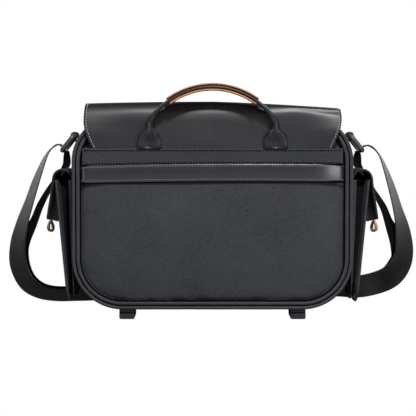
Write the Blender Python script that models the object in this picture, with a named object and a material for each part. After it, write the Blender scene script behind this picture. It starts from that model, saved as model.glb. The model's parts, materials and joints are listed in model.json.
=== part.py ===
"""Camera messenger bag: twill body, leather flap, layered handle, bellows side pockets, webbing strap.

Metres, +Z up. The worn back of the bag faces -Y and the flap's front drop faces +Y.
Sizes below are measured in a bag frame: x from the middle, y from the rear plane, z from the ground.
"""
import math

import bmesh
import bpy
from mathutils import Vector

# Fits
GAP = 0.0003  # clearance between neighbouring pieces

# Body
BODY_WIDTH = 0.337
BODY_HEIGHT = 0.232
BODY_DEPTH = 0.160
BASE_RADIUS = 0.060
TOP_RADIUS = 0.054
GROUND_LIFT = 0.014  # height of the lash loops that the bag stands on
ROLL_RADIUS = 0.0028
PIPING_RADIUS = 0.0026
PANEL_THICKNESS = 0.0085
PANEL_RECESS = 0.001  # how far a panel's face lies behind its roll
PANEL_SOFT = 0.002  # softened edge of a panel or slab
SIDE_INSET = 0.001
SIDE_THICKNESS = 0.006
SIDE_TOP_ANGLE = 55.0  # how far the side panels run round the top corners, in degrees
ARC_STEPS = 6

# Padded insert
PAD = 0.009
PAD_HEIGHT = 0.176
DIVIDER_THICKNESS = 0.008
DIVIDER_HEIGHT = 0.150
DIVIDER_X = 0.052
DIVIDER_CLEARANCE = 0.0005

# Flap
LEATHER = 0.002
FLAP_SEAM_HEIGHT = 0.193  # above the body's base, as the next heights
FLAP_TOP_HEIGHT = 0.250
FLAP_DROP_HEIGHT = 0.062
FLAP_SEAM_HALF = 0.144
FLAP_HALF = 0.154
FLAP_BEND = 0.020
FLAP_CORNER = 0.045
SNAP_RADIUS = 0.009
SNAP_THICKNESS = 0.0017
SNAP_X = 0.085
SNAP_HEIGHT = 0.085

# Luggage band
BAND_LOW = 0.1535
BAND_HIGH = 0.1745
BAND_THICKNESS = 0.0025

# Handle
TAB_X = 0.0755
TAB_HALF = 0.0150
TAB_NECK_HALF = 0.0041
TAB_NECK_HEIGHT = 0.223
TAB_THICKNESS = 0.0032
TAB_STEPS = 8
HANDLE_LEAN = 0.0085  # how far the grip stands behind the tabs
GRIP_HALF = 0.053
GRIP_WIDTH = 0.018
GRIP_CORE = 0.0043
GRIP_LAYER = 0.0020
GRIP_APEX = 0.2666
GRIP_ARCH = 1.5  # how much the arch drops towards the necks
GRIP_STEPS = 16
HANDLE_STEPS = 28

# Side pockets
POCKET_NEAR = 0.014
POCKET_FAR = 0.094
POCKET_LOW = 0.006
POCKET_HIGH = 0.155
POCKET_TOP_REACH = 0.0235  # from the body's side to the outer panel's outer face, at the top
POCKET_LOW_REACH = 0.0065
POCKET_CORNER = 0.020
POCKET_SHEET = 0.0018
BELLOWS = 0.006
BELLOWS_SHEET = 0.0011
# How far the far wall of the bellows stands up under the flap, from the body outward
BELLOWS_EAR = (0.0, 0.0018, 0.0070, 0.0070, 0.0060)
SIDE_FLAP_SHEET = 0.0024
SIDE_FLAP_MARGIN = 0.002
SIDE_FLAP_SEAM = 0.003  # above the pocket's mouth
SIDE_FLAP_CROWN = 0.0135  # above the pocket's mouth
SIDE_FLAP_LEAD = 0.003
# Out from the body's side, then down from the crown
SIDE_FLAP_ROOT = ((0.0050, 0.0045), (0.0090, 0.0010), (0.0120, 0.0), (0.0150, 0.0))
# Out from the pocket's face, then down from the crown
SIDE_FLAP_DROP = (
    (-0.0010, 0.0022), (0.0035, 0.0085), (0.0045, 0.0200),
    (0.0072, 0.0400), (0.0100, 0.0560), (0.0110, 0.0640),
)
PULL_WIDTH = 0.011
PULL_SHEET = 0.0016
PULL_SWELL = 0.00525
PULL_DROP = 0.0148

# Rings and strap
RING_Y = 0.119
RING_WIRE = 0.0026
RING_LENGTH = 0.0240
RING_CLEAR_WIDTH = 0.033
RING_SLANT = 38.5  # degrees outward from hanging straight down
RING_TAB_WIDTH = 0.028
RING_TAB_SHEET = 0.0015
RING_TAB_LOW = 0.151
RING_SOFT = 0.004
EYE_X = 0.1765
EYE_HEIGHT = 0.2095
STRAP_WIDTH = 0.030
STRAP_THICKNESS = 0.0018
STRAP_STEPS = 3  # ribbon sections between two route points
SLIDER_LENGTH = 0.022
SLIDER_WALL = 0.0024

# Lash loops
LOOP_X = 0.104
LOOP_WIDTH = 0.018
LOOP_LENGTH = 0.054
LOOP_SHEET = 0.0028
LOOP_SETBACK = 0.006

# Colours: linear red, green, blue, then roughness and metallic
TWILL = ((0.032, 0.034, 0.039), 0.85, 0.0)
SMOOTH_LEATHER = ((0.016, 0.017, 0.019), 0.42, 0.0)
WEBBING = ((0.030, 0.030, 0.032), 0.8, 0.0)
TAN_LEATHER = ((0.56, 0.24, 0.10), 0.55, 0.0)
PADDING = ((0.085, 0.085, 0.09), 0.9, 0.0)
GUNMETAL = ((0.10, 0.10, 0.11), 0.35, 1.0)

BASE_Z = GROUND_LIFT
TOP_Z = BASE_Z + BODY_HEIGHT
PANEL_INSET = 2 * ROLL_RADIUS + 2 * PIPING_RADIUS + 2 * GAP
SIDE_INNER = SIDE_INSET + SIDE_THICKNESS
SIDE_FACE = BODY_WIDTH / 2 - SIDE_INSET
PANEL_INNER = PANEL_RECESS + PANEL_THICKNESS
PAD_INSET = SIDE_INNER + GAP
PAD_FLOOR = BASE_Z + PAD_INSET + PAD


def clear_scene():
    for item in list(bpy.data.objects):
        bpy.data.objects.remove(item, do_unlink=True)


def finish_material(name, finish):
    colour, roughness, metallic = finish
    material = bpy.data.materials.new(name)
    material.use_nodes = True
    shader = material.node_tree.nodes["Principled BSDF"]
    shader.inputs["Base Color"].default_value = (*colour, 1.0)
    shader.inputs["Roughness"].default_value = roughness
    shader.inputs["Metallic"].default_value = metallic
    return material


class Pivot:
    """An empty whose place in the bag frame is kept, so pieces on it can be written in that frame."""

    def __init__(self, name, place, parent=None):
        self.place = Vector(place)
        self.empty = bpy.data.objects.new(name, None)
        bpy.context.collection.objects.link(self.empty)
        if parent:
            self.empty.parent = parent.empty
            self.empty.location = self.place - parent.place
        else:
            self.empty.location = self.place


def link(name, data, finish, pivot):
    piece = bpy.data.objects.new(name, data)
    bpy.context.collection.objects.link(piece)
    piece.parent = pivot.empty
    data.materials.append(finish_material(name, finish))
    return piece


def solid(name, points, faces, finish, pivot):
    """A closed mesh from points of the bag frame, its faces turned outward."""
    mesh = bpy.data.meshes.new(name)
    mesh.from_pydata([Vector(p) - pivot.place for p in points], [], faces)
    work = bmesh.new()
    work.from_mesh(mesh)
    bmesh.ops.recalc_face_normals(work, faces=work.faces)
    work.to_mesh(mesh)
    work.free()
    mesh.shade_smooth()
    mesh.set_sharp_from_angle(angle=math.radians(35))
    return link(name, mesh, finish, pivot)


def loft(name, rings, finish, pivot):
    """Skin rings of equal count one to the next and close both ends."""
    count = len(rings[0])
    points = [p for ring in rings for p in ring]
    faces = [list(range(count))[::-1]]
    for level in range(len(rings) - 1):
        for i in range(count):
            a = level * count + i
            b = level * count + (i + 1) % count
            faces.append([a, b, b + count, a + count])
    faces.append([(len(rings) - 1) * count + i for i in range(count)])
    return solid(name, points, faces, finish, pivot)


def sheet(name, rows, thickness, finish, pivot):
    """A closed thin wall: a grid of points and its copy, offset along the grid's normals."""
    tall, wide = len(rows), len(rows[0])
    grid = [[Vector(p) for p in row] for row in rows]
    outer = []
    inner = []
    for i in range(tall):
        for j in range(wide):
            along = grid[min(i + 1, tall - 1)][j] - grid[max(i - 1, 0)][j]
            across = grid[i][min(j + 1, wide - 1)] - grid[i][max(j - 1, 0)]
            normal = along.cross(across).normalized()
            outer.append(grid[i][j])
            inner.append(grid[i][j] + normal * thickness)
    faces = []
    under = tall * wide
    for i in range(tall - 1):
        for j in range(wide - 1):
            a, b = i * wide + j, i * wide + j + 1
            c, d = b + wide, a + wide
            faces.append([a, b, c, d])
            faces.append([under + d, under + c, under + b, under + a])
    rim = [j for j in range(wide)]
    rim += [i * wide + wide - 1 for i in range(1, tall)]
    rim += [(tall - 1) * wide + j for j in range(wide - 2, -1, -1)]
    rim += [i * wide for i in range(tall - 2, 0, -1)]
    for k, a in enumerate(rim):
        b = rim[(k + 1) % len(rim)]
        faces.append([a, under + a, under + b, b])
    return solid(name, outer + inner, faces, finish, pivot)


def strip(name, path, thickness, near, far, finish, pivot, closed=False):
    """Fold a strip along a path in the XZ plane, its width from near to far along Y."""
    count = len(path)
    left = []
    right = []
    for i, (x, z) in enumerate(path):
        before = path[i - 1] if closed or i else path[i]
        after = path[(i + 1) % count] if closed or i < count - 1 else path[i]
        step = Vector((after[0] - before[0], after[1] - before[1])).normalized()
        side = Vector((-step.y, step.x)) * thickness / 2
        left.append((x + side.x, z + side.y))
        right.append((x - side.x, z - side.y))
    points = [(x, y, z) for y in (near, far) for edge in (left, right) for x, z in edge]
    faces = []
    for i in range(count if closed else count - 1):
        j = (i + 1) % count
        quad = [[k * count + i, k * count + j] for k in range(4)]
        for a, b in ((0, 1), (1, 3), (3, 2), (2, 0)):
            faces.append(quad[a] + quad[b][::-1])
    if not closed:
        for i in (0, count - 1):
            faces.append([i, count + i, 3 * count + i, 2 * count + i])
    return solid(name, points, faces, finish, pivot)


def tube(name, points, radius, finish, pivot, sides=2):
    """A closed round cord through points of the bag frame."""
    curve = bpy.data.curves.new(name, "CURVE")
    curve.dimensions = "3D"
    curve.bevel_depth = radius
    curve.bevel_resolution = sides
    spline = curve.splines.new("POLY")
    spline.points.add(len(points) - 1)
    for target, p in zip(spline.points, points):
        target.co = (*(Vector(p) - pivot.place), 1.0)
    spline.use_cyclic_u = True
    return link(name, curve, finish, pivot)


def arc(cx, cz, radius, first, last, steps=ARC_STEPS):
    """Points on a circle in the XZ plane, angles in degrees."""
    turns = [math.radians(first + (last - first) * k / steps) for k in range(steps + 1)]
    return [(cx + radius * math.cos(t), cz + radius * math.sin(t)) for t in turns]


def side_path(inset, stop=90.0):
    """The right half of the body's outline: base corner, side and top corner up to the stop angle."""
    half = BODY_WIDTH / 2 - inset
    low, high = BASE_Z + inset, TOP_Z - inset
    base, top = BASE_RADIUS - inset, TOP_RADIUS - inset
    path = arc(half - base, low + base, base, -90, 0)
    return path + arc(half - top, high - top, top, 0, stop)


def outline(inset):
    """The body's closed outline, drawn in by an inset."""
    right = side_path(inset)
    return right + [(-x, z) for x, z in reversed(right)]


def at_depth(path, y):
    return [(x, y, z) for x, z in path]


def mirrored(path):
    return [(-x, z) for x, z in path]


def band(name, outer, inner, near, far, finish, pivot):
    """A curved wall between two paths of equal count in the XZ plane."""
    count = len(outer)
    points = [(x, y, z) for y in (near, far) for edge in (outer, inner) for x, z in edge]
    faces = []
    for i in range(count - 1):
        quad = [[k * count + i, k * count + i + 1] for k in range(4)]
        for a, b in ((0, 1), (1, 3), (3, 2), (2, 0)):
            faces.append(quad[a] + quad[b][::-1])
    for i in (0, count - 1):
        faces.append([i, count + i, 3 * count + i, 2 * count + i])
    return solid(name, points, faces, finish, pivot)


def panel(name, rear, front, finish, pivot, rounded_rear):
    """A padded wall with the body's outline and one softened face edge."""
    soft_inset = PANEL_INSET + PANEL_SOFT
    levels = [(soft_inset, rear), (PANEL_INSET, rear + PANEL_SOFT), (PANEL_INSET, front)]
    if not rounded_rear:
        levels = [(PANEL_INSET, rear), (PANEL_INSET, front - PANEL_SOFT), (soft_inset, front)]
    return loft(name, [at_depth(outline(inset), y) for inset, y in levels], finish, pivot)


def slab(name, low, high, finish, pivot, soft=PANEL_SOFT):
    """A box with its four upright edges softened."""
    (x0, y0, z0), (x1, y1, z1) = low, high
    ring = [(x0 + soft, y0), (x1 - soft, y0), (x1, y0 + soft), (x1, y1 - soft)]
    ring += [(x1 - soft, y1), (x0 + soft, y1), (x0, y1 - soft), (x0, y0 + soft)]
    return loft(name, [[(x, y, z) for x, y in ring] for z in (z0, z1)], finish, pivot)


def build_body(root):
    front_face = BODY_DEPTH - PANEL_RECESS
    panel("back_panel", PANEL_RECESS, PANEL_INNER, TWILL, root, True)
    panel("front_panel", BODY_DEPTH - PANEL_INNER, front_face, TWILL, root, False)
    piping_inset = 2 * ROLL_RADIUS + GAP + PIPING_RADIUS
    for side, y in (("back", ROLL_RADIUS), ("front", BODY_DEPTH - ROLL_RADIUS)):
        tube(f"{side}_roll", at_depth(outline(ROLL_RADIUS), y), ROLL_RADIUS, TWILL, root)
        tube(f"{side}_piping", at_depth(outline(piping_inset), y), PIPING_RADIUS, TWILL, root)
    near = 2 * ROLL_RADIUS + GAP
    far = BODY_DEPTH - near
    outer, inner = side_path(SIDE_INSET, SIDE_TOP_ANGLE), side_path(SIDE_INNER, SIDE_TOP_ANGLE)
    band("side_panel_right", outer, inner, near, far, TWILL, root)
    band("side_panel_left", mirrored(outer), mirrored(inner), near, far, TWILL, root)
    flat = BODY_WIDTH / 2 - BASE_RADIUS - GAP
    slab("base_panel", (-flat, near, BASE_Z + SIDE_INSET), (flat, far, BASE_Z + SIDE_INNER), TWILL, root)
    half = BODY_WIDTH / 2 - PANEL_INSET - GAP
    low, high = BASE_Z + BAND_LOW, BASE_Z + BAND_HIGH
    rear = PANEL_RECESS - GAP - BAND_THICKNESS
    soft = BAND_THICKNESS / 3
    rings = []
    for inset, y in ((soft, rear), (0, rear + soft), (0, rear + BAND_THICKNESS)):
        x, z0, z1 = half - inset, low + inset, high - inset
        rings.append([(-x, y, z0), (x, y, z0), (x, y, z1), (-x, y, z1)])
    loft("luggage_band", rings, SMOOTH_LEATHER, root)


def build_insert(root):
    near, far = PANEL_INNER + GAP, BODY_DEPTH - PANEL_INNER - GAP
    top = BASE_Z + PAD_HEIGHT
    outer = side_path(PAD_INSET)[: ARC_STEPS + 1] + [(BODY_WIDTH / 2 - PAD_INSET, top)]
    inner = side_path(PAD_INSET + PAD)[: ARC_STEPS + 1] + [(BODY_WIDTH / 2 - PAD_INSET - PAD, top)]
    wall = outer + [(-x, z) for x, z in reversed(outer)]
    loft("insert_back", [at_depth(wall, y) for y in (near, near + PAD)], PADDING, root)
    loft("insert_front", [at_depth(wall, y) for y in (far - PAD, far)], PADDING, root)
    near, far = near + PAD + GAP, far - PAD - GAP
    band("insert_right", outer, inner, near, far, PADDING, root)
    band("insert_left", mirrored(outer), mirrored(inner), near, far, PADDING, root)
    flat = BODY_WIDTH / 2 - BASE_RADIUS - GAP
    slab("insert_base", (-flat, near, BASE_Z + PAD_INSET), (flat, far, PAD_FLOOR), PADDING, root)
    for side, sign in (("left", -1), ("right", 1)):
        middle = sign * DIVIDER_X
        pivot = Pivot(f"divider_{side}_slide", (middle, BODY_DEPTH / 2, PAD_FLOOR), root)
        low = (middle - DIVIDER_THICKNESS / 2, near + DIVIDER_CLEARANCE, PAD_FLOOR + GAP)
        high = (middle + DIVIDER_THICKNESS / 2, far - DIVIDER_CLEARANCE, BASE_Z + DIVIDER_HEIGHT)
        slab(f"divider_{side}", low, high, PADDING, pivot)


def disc(name, x, y, z, finish, pivot):
    ring = arc(x, z, SNAP_RADIUS, 0, 330, 11)
    return loft(name, [at_depth(ring, y), at_depth(ring, y + SNAP_THICKNESS)], finish, pivot)


def build_flap(root):
    """The rear rise is sewn to the body; the top lifts at the rear bend and the front at the front bend."""
    rear = -GAP - LEATHER
    top = BASE_Z + FLAP_TOP_HEIGHT
    snap_y = BODY_DEPTH - PANEL_RECESS + GAP
    drop = snap_y + 2 * SNAP_THICKNESS + 2 * GAP + LEATHER
    rear_bend = rear + FLAP_BEND
    front_bend = drop - FLAP_BEND
    lift = Pivot("flap_hinge", (0, rear_bend, top), root)
    fold = Pivot("flap_fold", (0, front_bend, top), lift)

    def row(y, z, half):
        return [(-half, y, z), (0, y, z), (half, y, z)]

    rise = top - FLAP_BEND - (BASE_Z + FLAP_SEAM_HEIGHT)
    rows = []
    for k in range(4):
        share = k / 4
        half = FLAP_SEAM_HALF + (FLAP_HALF - FLAP_SEAM_HALF) * math.sin(share * math.pi / 2)
        rows.append(row(rear, BASE_Z + FLAP_SEAM_HEIGHT + rise * share, half))
    for y, z in arc(rear_bend, top - FLAP_BEND, FLAP_BEND, 180, 90):
        rows.append(row(y, z, FLAP_HALF))
    sheet("flap_back", rows, LEATHER, SMOOTH_LEATHER, root)
    rows = [row(y, top, FLAP_HALF) for y in (rear_bend + GAP, front_bend - GAP)]
    sheet("flap_top", rows, LEATHER, SMOOTH_LEATHER, lift)
    rows = [row(y, z, FLAP_HALF) for y, z in arc(front_bend, top - FLAP_BEND, FLAP_BEND, 90, 0)]
    edge = BASE_Z + FLAP_DROP_HEIGHT
    for k in range(ARC_STEPS + 1):
        turn = math.radians(80 * k / ARC_STEPS)
        half = FLAP_HALF - FLAP_CORNER * (1 - math.cos(turn))
        rows.append(row(drop, edge + FLAP_CORNER * (1 - math.sin(turn)), half))
    sheet("flap_front", rows, LEATHER, SMOOTH_LEATHER, fold)
    for side, sign in (("left", -1), ("right", 1)):
        disc(f"snap_body_{side}", sign * SNAP_X, snap_y, BASE_Z + SNAP_HEIGHT, GUNMETAL, root)
        y = snap_y + SNAP_THICKNESS + GAP
        disc(f"snap_flap_{side}", sign * SNAP_X, y, BASE_Z + SNAP_HEIGHT, GUNMETAL, fold)


def grip_point(share):
    """The handle's middle line from one neck (share -1) to the other (share 1): x and z."""
    neck = BASE_Z + TAB_NECK_HEIGHT + GAP
    apex = BASE_Z + GRIP_APEX
    turn = share * math.pi / 2
    return TAB_X * math.sin(turn), neck + (apex - neck) * max(0.0, math.cos(turn)) ** GRIP_ARCH


def grip_section(share, inner, outer, half, rear):
    """A four-sided handle section: from inner to outer across the arch, half wide along Y."""
    x, z = grip_point(share)
    ahead, behind = grip_point(min(share + 0.01, 1)), grip_point(max(share - 0.01, -1))
    along = Vector((ahead[0] - behind[0], ahead[1] - behind[1])).normalized()
    out = Vector((-along.y, along.x))
    if abs(share) == 1:
        out = Vector((share, 0))
    corners = ((inner, -half), (outer, -half), (outer, half), (inner, half))
    return [(x + out.x * r, rear + w, z + out.y * r) for r, w in corners]


def build_handle(root):
    rear = -GAP - LEATHER - GAP - TAB_THICKNESS
    seam = BASE_Z + FLAP_SEAM_HEIGHT
    swing = Pivot("handle_swing", (0, rear, seam), root)
    neck = BASE_Z + TAB_NECK_HEIGHT
    for side, sign in (("left", -1), ("right", 1)):
        edge = []
        for k in range(TAB_STEPS + 1):
            share = k / TAB_STEPS
            half = TAB_NECK_HALF + (TAB_HALF - TAB_NECK_HALF) * (1 + math.cos(math.pi * share ** 2)) / 2
            edge.append((half, seam + (neck - seam) * share))
        ring = [(sign * TAB_X + x, z) for x, z in edge] + [(sign * TAB_X - x, z) for x, z in edge[::-1]]
        levels = [at_depth(ring, y) for y in (rear, rear + TAB_THICKNESS)]
        loft(f"handle_tab_{side}", levels, SMOOTH_LEATHER, swing)
    grip_share = math.asin(GRIP_HALF / TAB_X) / (math.pi / 2)
    middle = rear + TAB_THICKNESS / 2

    def core(share):
        """How far a section has opened from the neck's cord to the flat grip, and its lean."""
        opened = min(1.0, (1 - abs(share)) / (1 - grip_share))
        return opened, middle - HANDLE_LEAN * opened

    rings = []
    for k in range(HANDLE_STEPS + 1):
        share = -1 + 2 * k / HANDLE_STEPS
        opened, y = core(share)
        deep = TAB_NECK_HALF + (GRIP_CORE / 2 - TAB_NECK_HALF) * opened
        half = TAB_THICKNESS / 2 + (GRIP_WIDTH / 2 - TAB_THICKNESS / 2) * opened
        rings.append(grip_section(share, -deep, deep, half, y))
    loft("handle_strap", rings, SMOOTH_LEATHER, swing)
    above, below = GRIP_CORE / 2 + GAP, -GRIP_CORE / 2 - GAP - GRIP_LAYER
    for name, first in (("grip_top", above), ("grip_bottom", below)):
        rings = []
        for k in range(GRIP_STEPS + 1):
            share = grip_share * (-1 + 2 * k / GRIP_STEPS)
            rings.append(grip_section(share, first, first + GRIP_LAYER, GRIP_WIDTH / 2, core(share)[1]))
        loft(name, rings, TAN_LEATHER, swing)


def pocket_face(z):
    """The outer face of a side pocket's panel, measured from the middle of the bag."""
    share = (z - BASE_Z - POCKET_LOW) / (POCKET_HIGH - POCKET_LOW)
    return SIDE_FACE + POCKET_LOW_REACH + (POCKET_TOP_REACH - POCKET_LOW_REACH) * share


def build_pocket(side, sign, root):
    low, high = BASE_Z + POCKET_LOW, BASE_Z + POCKET_HIGH
    corner = POCKET_CORNER
    rows = []
    for k in range(ARC_STEPS + 1):
        turn = math.radians(90 * k / ARC_STEPS)
        cut = corner * (1 - math.sin(turn + 0.12 * (1 - k / ARC_STEPS)))
        rows.append((low + corner * (1 - math.cos(turn)), POCKET_NEAR + cut, POCKET_FAR - cut))
    rows.append((high, POCKET_NEAR, POCKET_FAR))
    grid = [[(sign * pocket_face(z), y, z) for y in (near, far)[::int(sign)]] for z, near, far in rows]
    sheet(f"side_pocket_panel_{side}", grid, POCKET_SHEET, TWILL, root)
    # The bellows runs down the near side, under the pocket and up the far side
    reach = POCKET_NEAR + BELLOWS, POCKET_FAR - BELLOWS
    floor = low + BELLOWS
    path = [(reach[0], high), (reach[0], (high + floor) / 2)]
    turns = arc(reach[0] + corner, floor + corner, corner, 180, 270)
    path += turns + [(reach[0] + reach[1] - y, z) for y, z in turns[::-1]]
    path += [(reach[1], (high + floor) / 2), (reach[1], high)]
    rows = []
    for i, (y, z) in enumerate(path):
        before, after = path[max(i - 1, 0)], path[min(i + 1, len(path) - 1)]
        step = Vector((after[0] - before[0], after[1] - before[1])).normalized()
        inward = Vector((-step.y, step.x))
        first = SIDE_FACE + GAP + BELLOWS_SHEET
        last = pocket_face(z) - POCKET_SHEET - GAP - BELLOWS_SHEET
        crest = min(BELLOWS - 2 * GAP, (last - first) * 0.45)
        fold = [(first, 0.0), ((3 * first + last) / 4, crest), ((first + last) / 2, 0.0),
                ((first + 3 * last) / 4, crest), (last, 0.0)]
        row = [(sign * x, y - inward.x * out, z - inward.y * out) for x, out in fold]
        if i == len(path) - 1:
            row = [(x, y, z + ear) for (x, y, z), ear in zip(row, BELLOWS_EAR)]
        rows.append(row[::int(sign)])
    sheet(f"side_pocket_gusset_{side}", rows, BELLOWS_SHEET, TWILL, root)


def side_flap_profile():
    """Outer face of a side pocket's flap, from its seam on the body to its tip: x and z."""
    mouth = BASE_Z + POCKET_HIGH
    face = pocket_face(mouth)
    crown = mouth + SIDE_FLAP_CROWN
    root = [(SIDE_FACE + GAP, mouth + SIDE_FLAP_SEAM)]
    root += [(SIDE_FACE + out, crown - down) for out, down in SIDE_FLAP_ROOT]
    last = root[-1][0]
    drop = [(last + GAP, crown), (last + SIDE_FLAP_LEAD, crown)]
    drop += [(face + out, crown - down) for out, down in SIDE_FLAP_DROP]
    return root, drop


def build_side_flap(side, sign, root):
    seam, drop = side_flap_profile()
    near, far = POCKET_NEAR + SIDE_FLAP_MARGIN, POCKET_FAR - SIDE_FLAP_MARGIN
    hinge = Pivot(f"side_flap_{side}_hinge", (sign * drop[0][0], (near + far) / 2, drop[0][1]), root)
    rows = [[(sign * x, y, z) for y in (near, far)[::-int(sign)]] for x, z in seam]
    sheet(f"side_flap_root_{side}", rows, SIDE_FLAP_SHEET, SMOOTH_LEATHER, root)
    cut = (far - near) / 4
    rows = []
    for i, (x, z) in enumerate(drop):
        draw = cut if i == len(drop) - 1 else 0.0
        rows.append([(sign * x, y, z) for y in (near + draw, far - draw)[::-int(sign)]])
    sheet(f"side_flap_{side}", rows, SIDE_FLAP_SHEET, SMOOTH_LEATHER, hinge)
    x, z = drop[-1]
    x -= SIDE_FLAP_SHEET / 2
    z -= 2 * GAP + PULL_SHEET / 2
    loop = [(x, z)]
    for turn in range(30, 331, 30):
        angle = math.radians(turn)
        swell = PULL_SWELL * math.sin(angle / 2) ** 1.2
        loop.append((x + swell * math.sin(angle), z - PULL_DROP * (1 - math.cos(angle)) / 2))
    loop = [(sign * px, pz) for px, pz in loop]
    middle = (near + far) / 2
    strip(f"pull_loop_{side}", loop, PULL_SHEET, middle - PULL_WIDTH / 2, middle + PULL_WIDTH / 2,
          TAN_LEATHER, hinge, closed=True)


def ring_bar():
    """The ring's outer bar: x and z of its middle, on the right side."""
    slant = math.radians(RING_SLANT)
    return EYE_X + RING_LENGTH * math.sin(slant), BASE_Z + EYE_HEIGHT - RING_LENGTH * math.cos(slant)


def build_ring(side, sign, root):
    near, far = RING_Y - RING_TAB_WIDTH / 2, RING_Y + RING_TAB_WIDTH / 2
    eye = (EYE_X, BASE_Z + EYE_HEIGHT)
    sheet_mid = RING_TAB_SHEET / 2
    slit = GAP / 2 + sheet_mid
    plate = SIDE_FACE + GAP + 2 * RING_TAB_SHEET / 2 + slit - sheet_mid
    bore = RING_WIRE + GAP + sheet_mid
    low = BASE_Z + RING_TAB_LOW
    bend = TOP_Z - TOP_RADIUS
    inner = [(plate - slit, low), (plate - slit, bend)]
    outer = [(plate + slit, bend), (plate + slit, low)]
    lean = math.degrees(math.atan2(eye[1] - bend, eye[0] - plate))
    turn = arc(eye[0], eye[1], bore, lean + 140, lean - 140, 10)
    path = inner + turn + outer
    path = [(sign * x, z) for x, z in path]
    strip(f"ring_tab_{side}", path, RING_TAB_SHEET, near, far, SMOOTH_LEATHER, root)
    swing = Pivot(f"ring_{side}_swing", (sign * eye[0], RING_Y, eye[1]), root)
    bar = ring_bar()
    half = RING_CLEAR_WIDTH / 2 + RING_WIRE
    cut, end = half - RING_SOFT, RING_LENGTH - RING_SOFT
    far_half = [(cut, 0), (half, RING_SOFT), (half, end), (cut, RING_LENGTH)]
    points = []
    for y, along in far_half + [(-y, along) for y, along in reversed(far_half)]:
        share = along / RING_LENGTH
        x = eye[0] + (bar[0] - eye[0]) * share
        points.append((sign * x, RING_Y + y, eye[1] + (bar[1] - eye[1]) * share))
    tube(f"ring_{side}", points, RING_WIRE, GUNMETAL, swing, sides=1)


# Strap routes: x, y, z of the webbing's middle line, then the way its far edge points.
# Heights are above the ground. Chosen by hand from where the webbing lies.
STRAP_MAIN = (
    ((-0.1908, 0.119, 0.2087), (0, 1, 0)),
    ((-0.1975, 0.119, 0.2121), (0, 1, 0)),
    ((-0.2055, 0.119, 0.2080), (-0.1, 1, 0)),
    ((-0.2145, 0.120, 0.1960), (-0.25, 1, 0)),
    ((-0.2265, 0.121, 0.1670), (-0.45, 1, 0)),
    ((-0.2365, 0.124, 0.1380), (-0.55, 1, 0)),
    ((-0.2470, 0.130, 0.1080), (-0.75, 1, 0)),
    ((-0.2540, 0.138, 0.0790), (-0.95, 0.9, 0)),
    ((-0.2540, 0.147, 0.0520), (-0.95, 0.75, -0.3)),
    ((-0.2445, 0.156, 0.0290), (-0.6, 0.75, -0.7)),
    ((-0.2280, 0.163, 0.0165), (-0.3, 0.85, -0.75)),
    ((-0.2060, 0.168, 0.0120), (-0.05, 0.85, -0.7)),
    ((-0.1800, 0.1715, 0.0130), (0, 0.75, -0.75)),
    ((-0.1500, 0.1740, 0.0175), (0, 0.3, -1)),
    ((-0.1250, 0.1750, 0.0200), (0, 0, -1)),
    ((-0.0980, 0.1750, 0.0200), (0, 0, -1)),
    ((-0.0700, 0.1750, 0.0200), (0, 0, -1)),
    ((-0.0500, 0.1762, 0.0200), (0, 0, -1)),
    ((-0.0150, 0.1860, 0.0195), (0, 0, -1)),
    ((0.0200, 0.2010, 0.0195), (0, 0, -1)),
    ((0.0500, 0.2106, 0.0200), (0, 0, -1)),
    ((0.0700, 0.2120, 0.0200), (0, 0, -1)),
    ((0.0980, 0.2120, 0.0200), (0, 0, -1)),
    ((0.1250, 0.2120, 0.0200), (0, 0, -1)),
    ((0.1500, 0.2119, 0.0200), (0, 0, -1)),
    ((0.1750, 0.2098, 0.0197), (0, 0, -1)),
    ((0.1970, 0.2050, 0.0190), (0, 0, -1)),
    ((0.2180, 0.1970, 0.0235), (0.15, 0.1, -1)),
    ((0.2370, 0.1820, 0.0330), (0.5, 0.2, -0.9)),
    ((0.2480, 0.1660, 0.0490), (0.8, 0.4, -0.6)),
    ((0.2520, 0.1500, 0.0700), (0.95, 0.7, -0.2)),
    ((0.2490, 0.1370, 0.0950), (0.9, 0.9, 0)),
    ((0.2415, 0.1270, 0.1240), (0.6, 1, 0)),
    ((0.2320, 0.1220, 0.1560), (0.45, 1, 0)),
    ((0.2200, 0.1200, 0.1890), (0.25, 1, 0)),
    ((0.2110, 0.1190, 0.2040), (0.1, 1, 0)),
    ((0.2010, 0.1190, 0.2108), (0, 1, 0)),
    ((0.1922, 0.1190, 0.2087), (0, 1, 0)),
)
TAIL_LEFT_TOP = (
    ((-0.1876, 0.119, 0.2038), (0, 1, 0)),
    ((-0.1858, 0.119, 0.1960), (-0.25, 1, 0)),
    ((-0.1878, 0.119, 0.1860), (-0.33, 1, 0)),
    ((-0.1950, 0.119, 0.1730), (-0.2, 1, 0)),
    ((-0.2060, 0.120, 0.1560), (-0.06, 1, 0)),
    ((-0.2190, 0.122, 0.1330), (-0.12, 1, 0)),
    ((-0.2335, 0.128, 0.1070), (-0.4, 1, 0)),
)
TAIL_RIGHT_TOP = (
    ((0.1876, 0.119, 0.2038), (0, 1, 0)),
    ((0.1858, 0.119, 0.1960), (0.25, 1, 0)),
    ((0.1870, 0.119, 0.1860), (0.33, 1, 0)),
    ((0.1935, 0.119, 0.1730), (0.2, 1, 0)),
    ((0.2040, 0.120, 0.1540), (0.06, 1, 0)),
    ((0.2180, 0.122, 0.1300), (0.12, 1, 0)),
    ((0.2320, 0.129, 0.1030), (0.45, 1, 0)),
)
TAIL_LEFT_JOINS = 7  # the main route's point where a tail comes to lie on it
TAIL_RIGHT_JOINS = 30
TAIL_LEFT_ENDS = 15  # the main route's point inside the slider
TAIL_RIGHT_ENDS = 22
LAYERS = 0.0031  # from the main webbing's middle line to its tail's
TAIL_SLACK = 0.0035  # how much further apart the two lie where the tail joins


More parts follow.
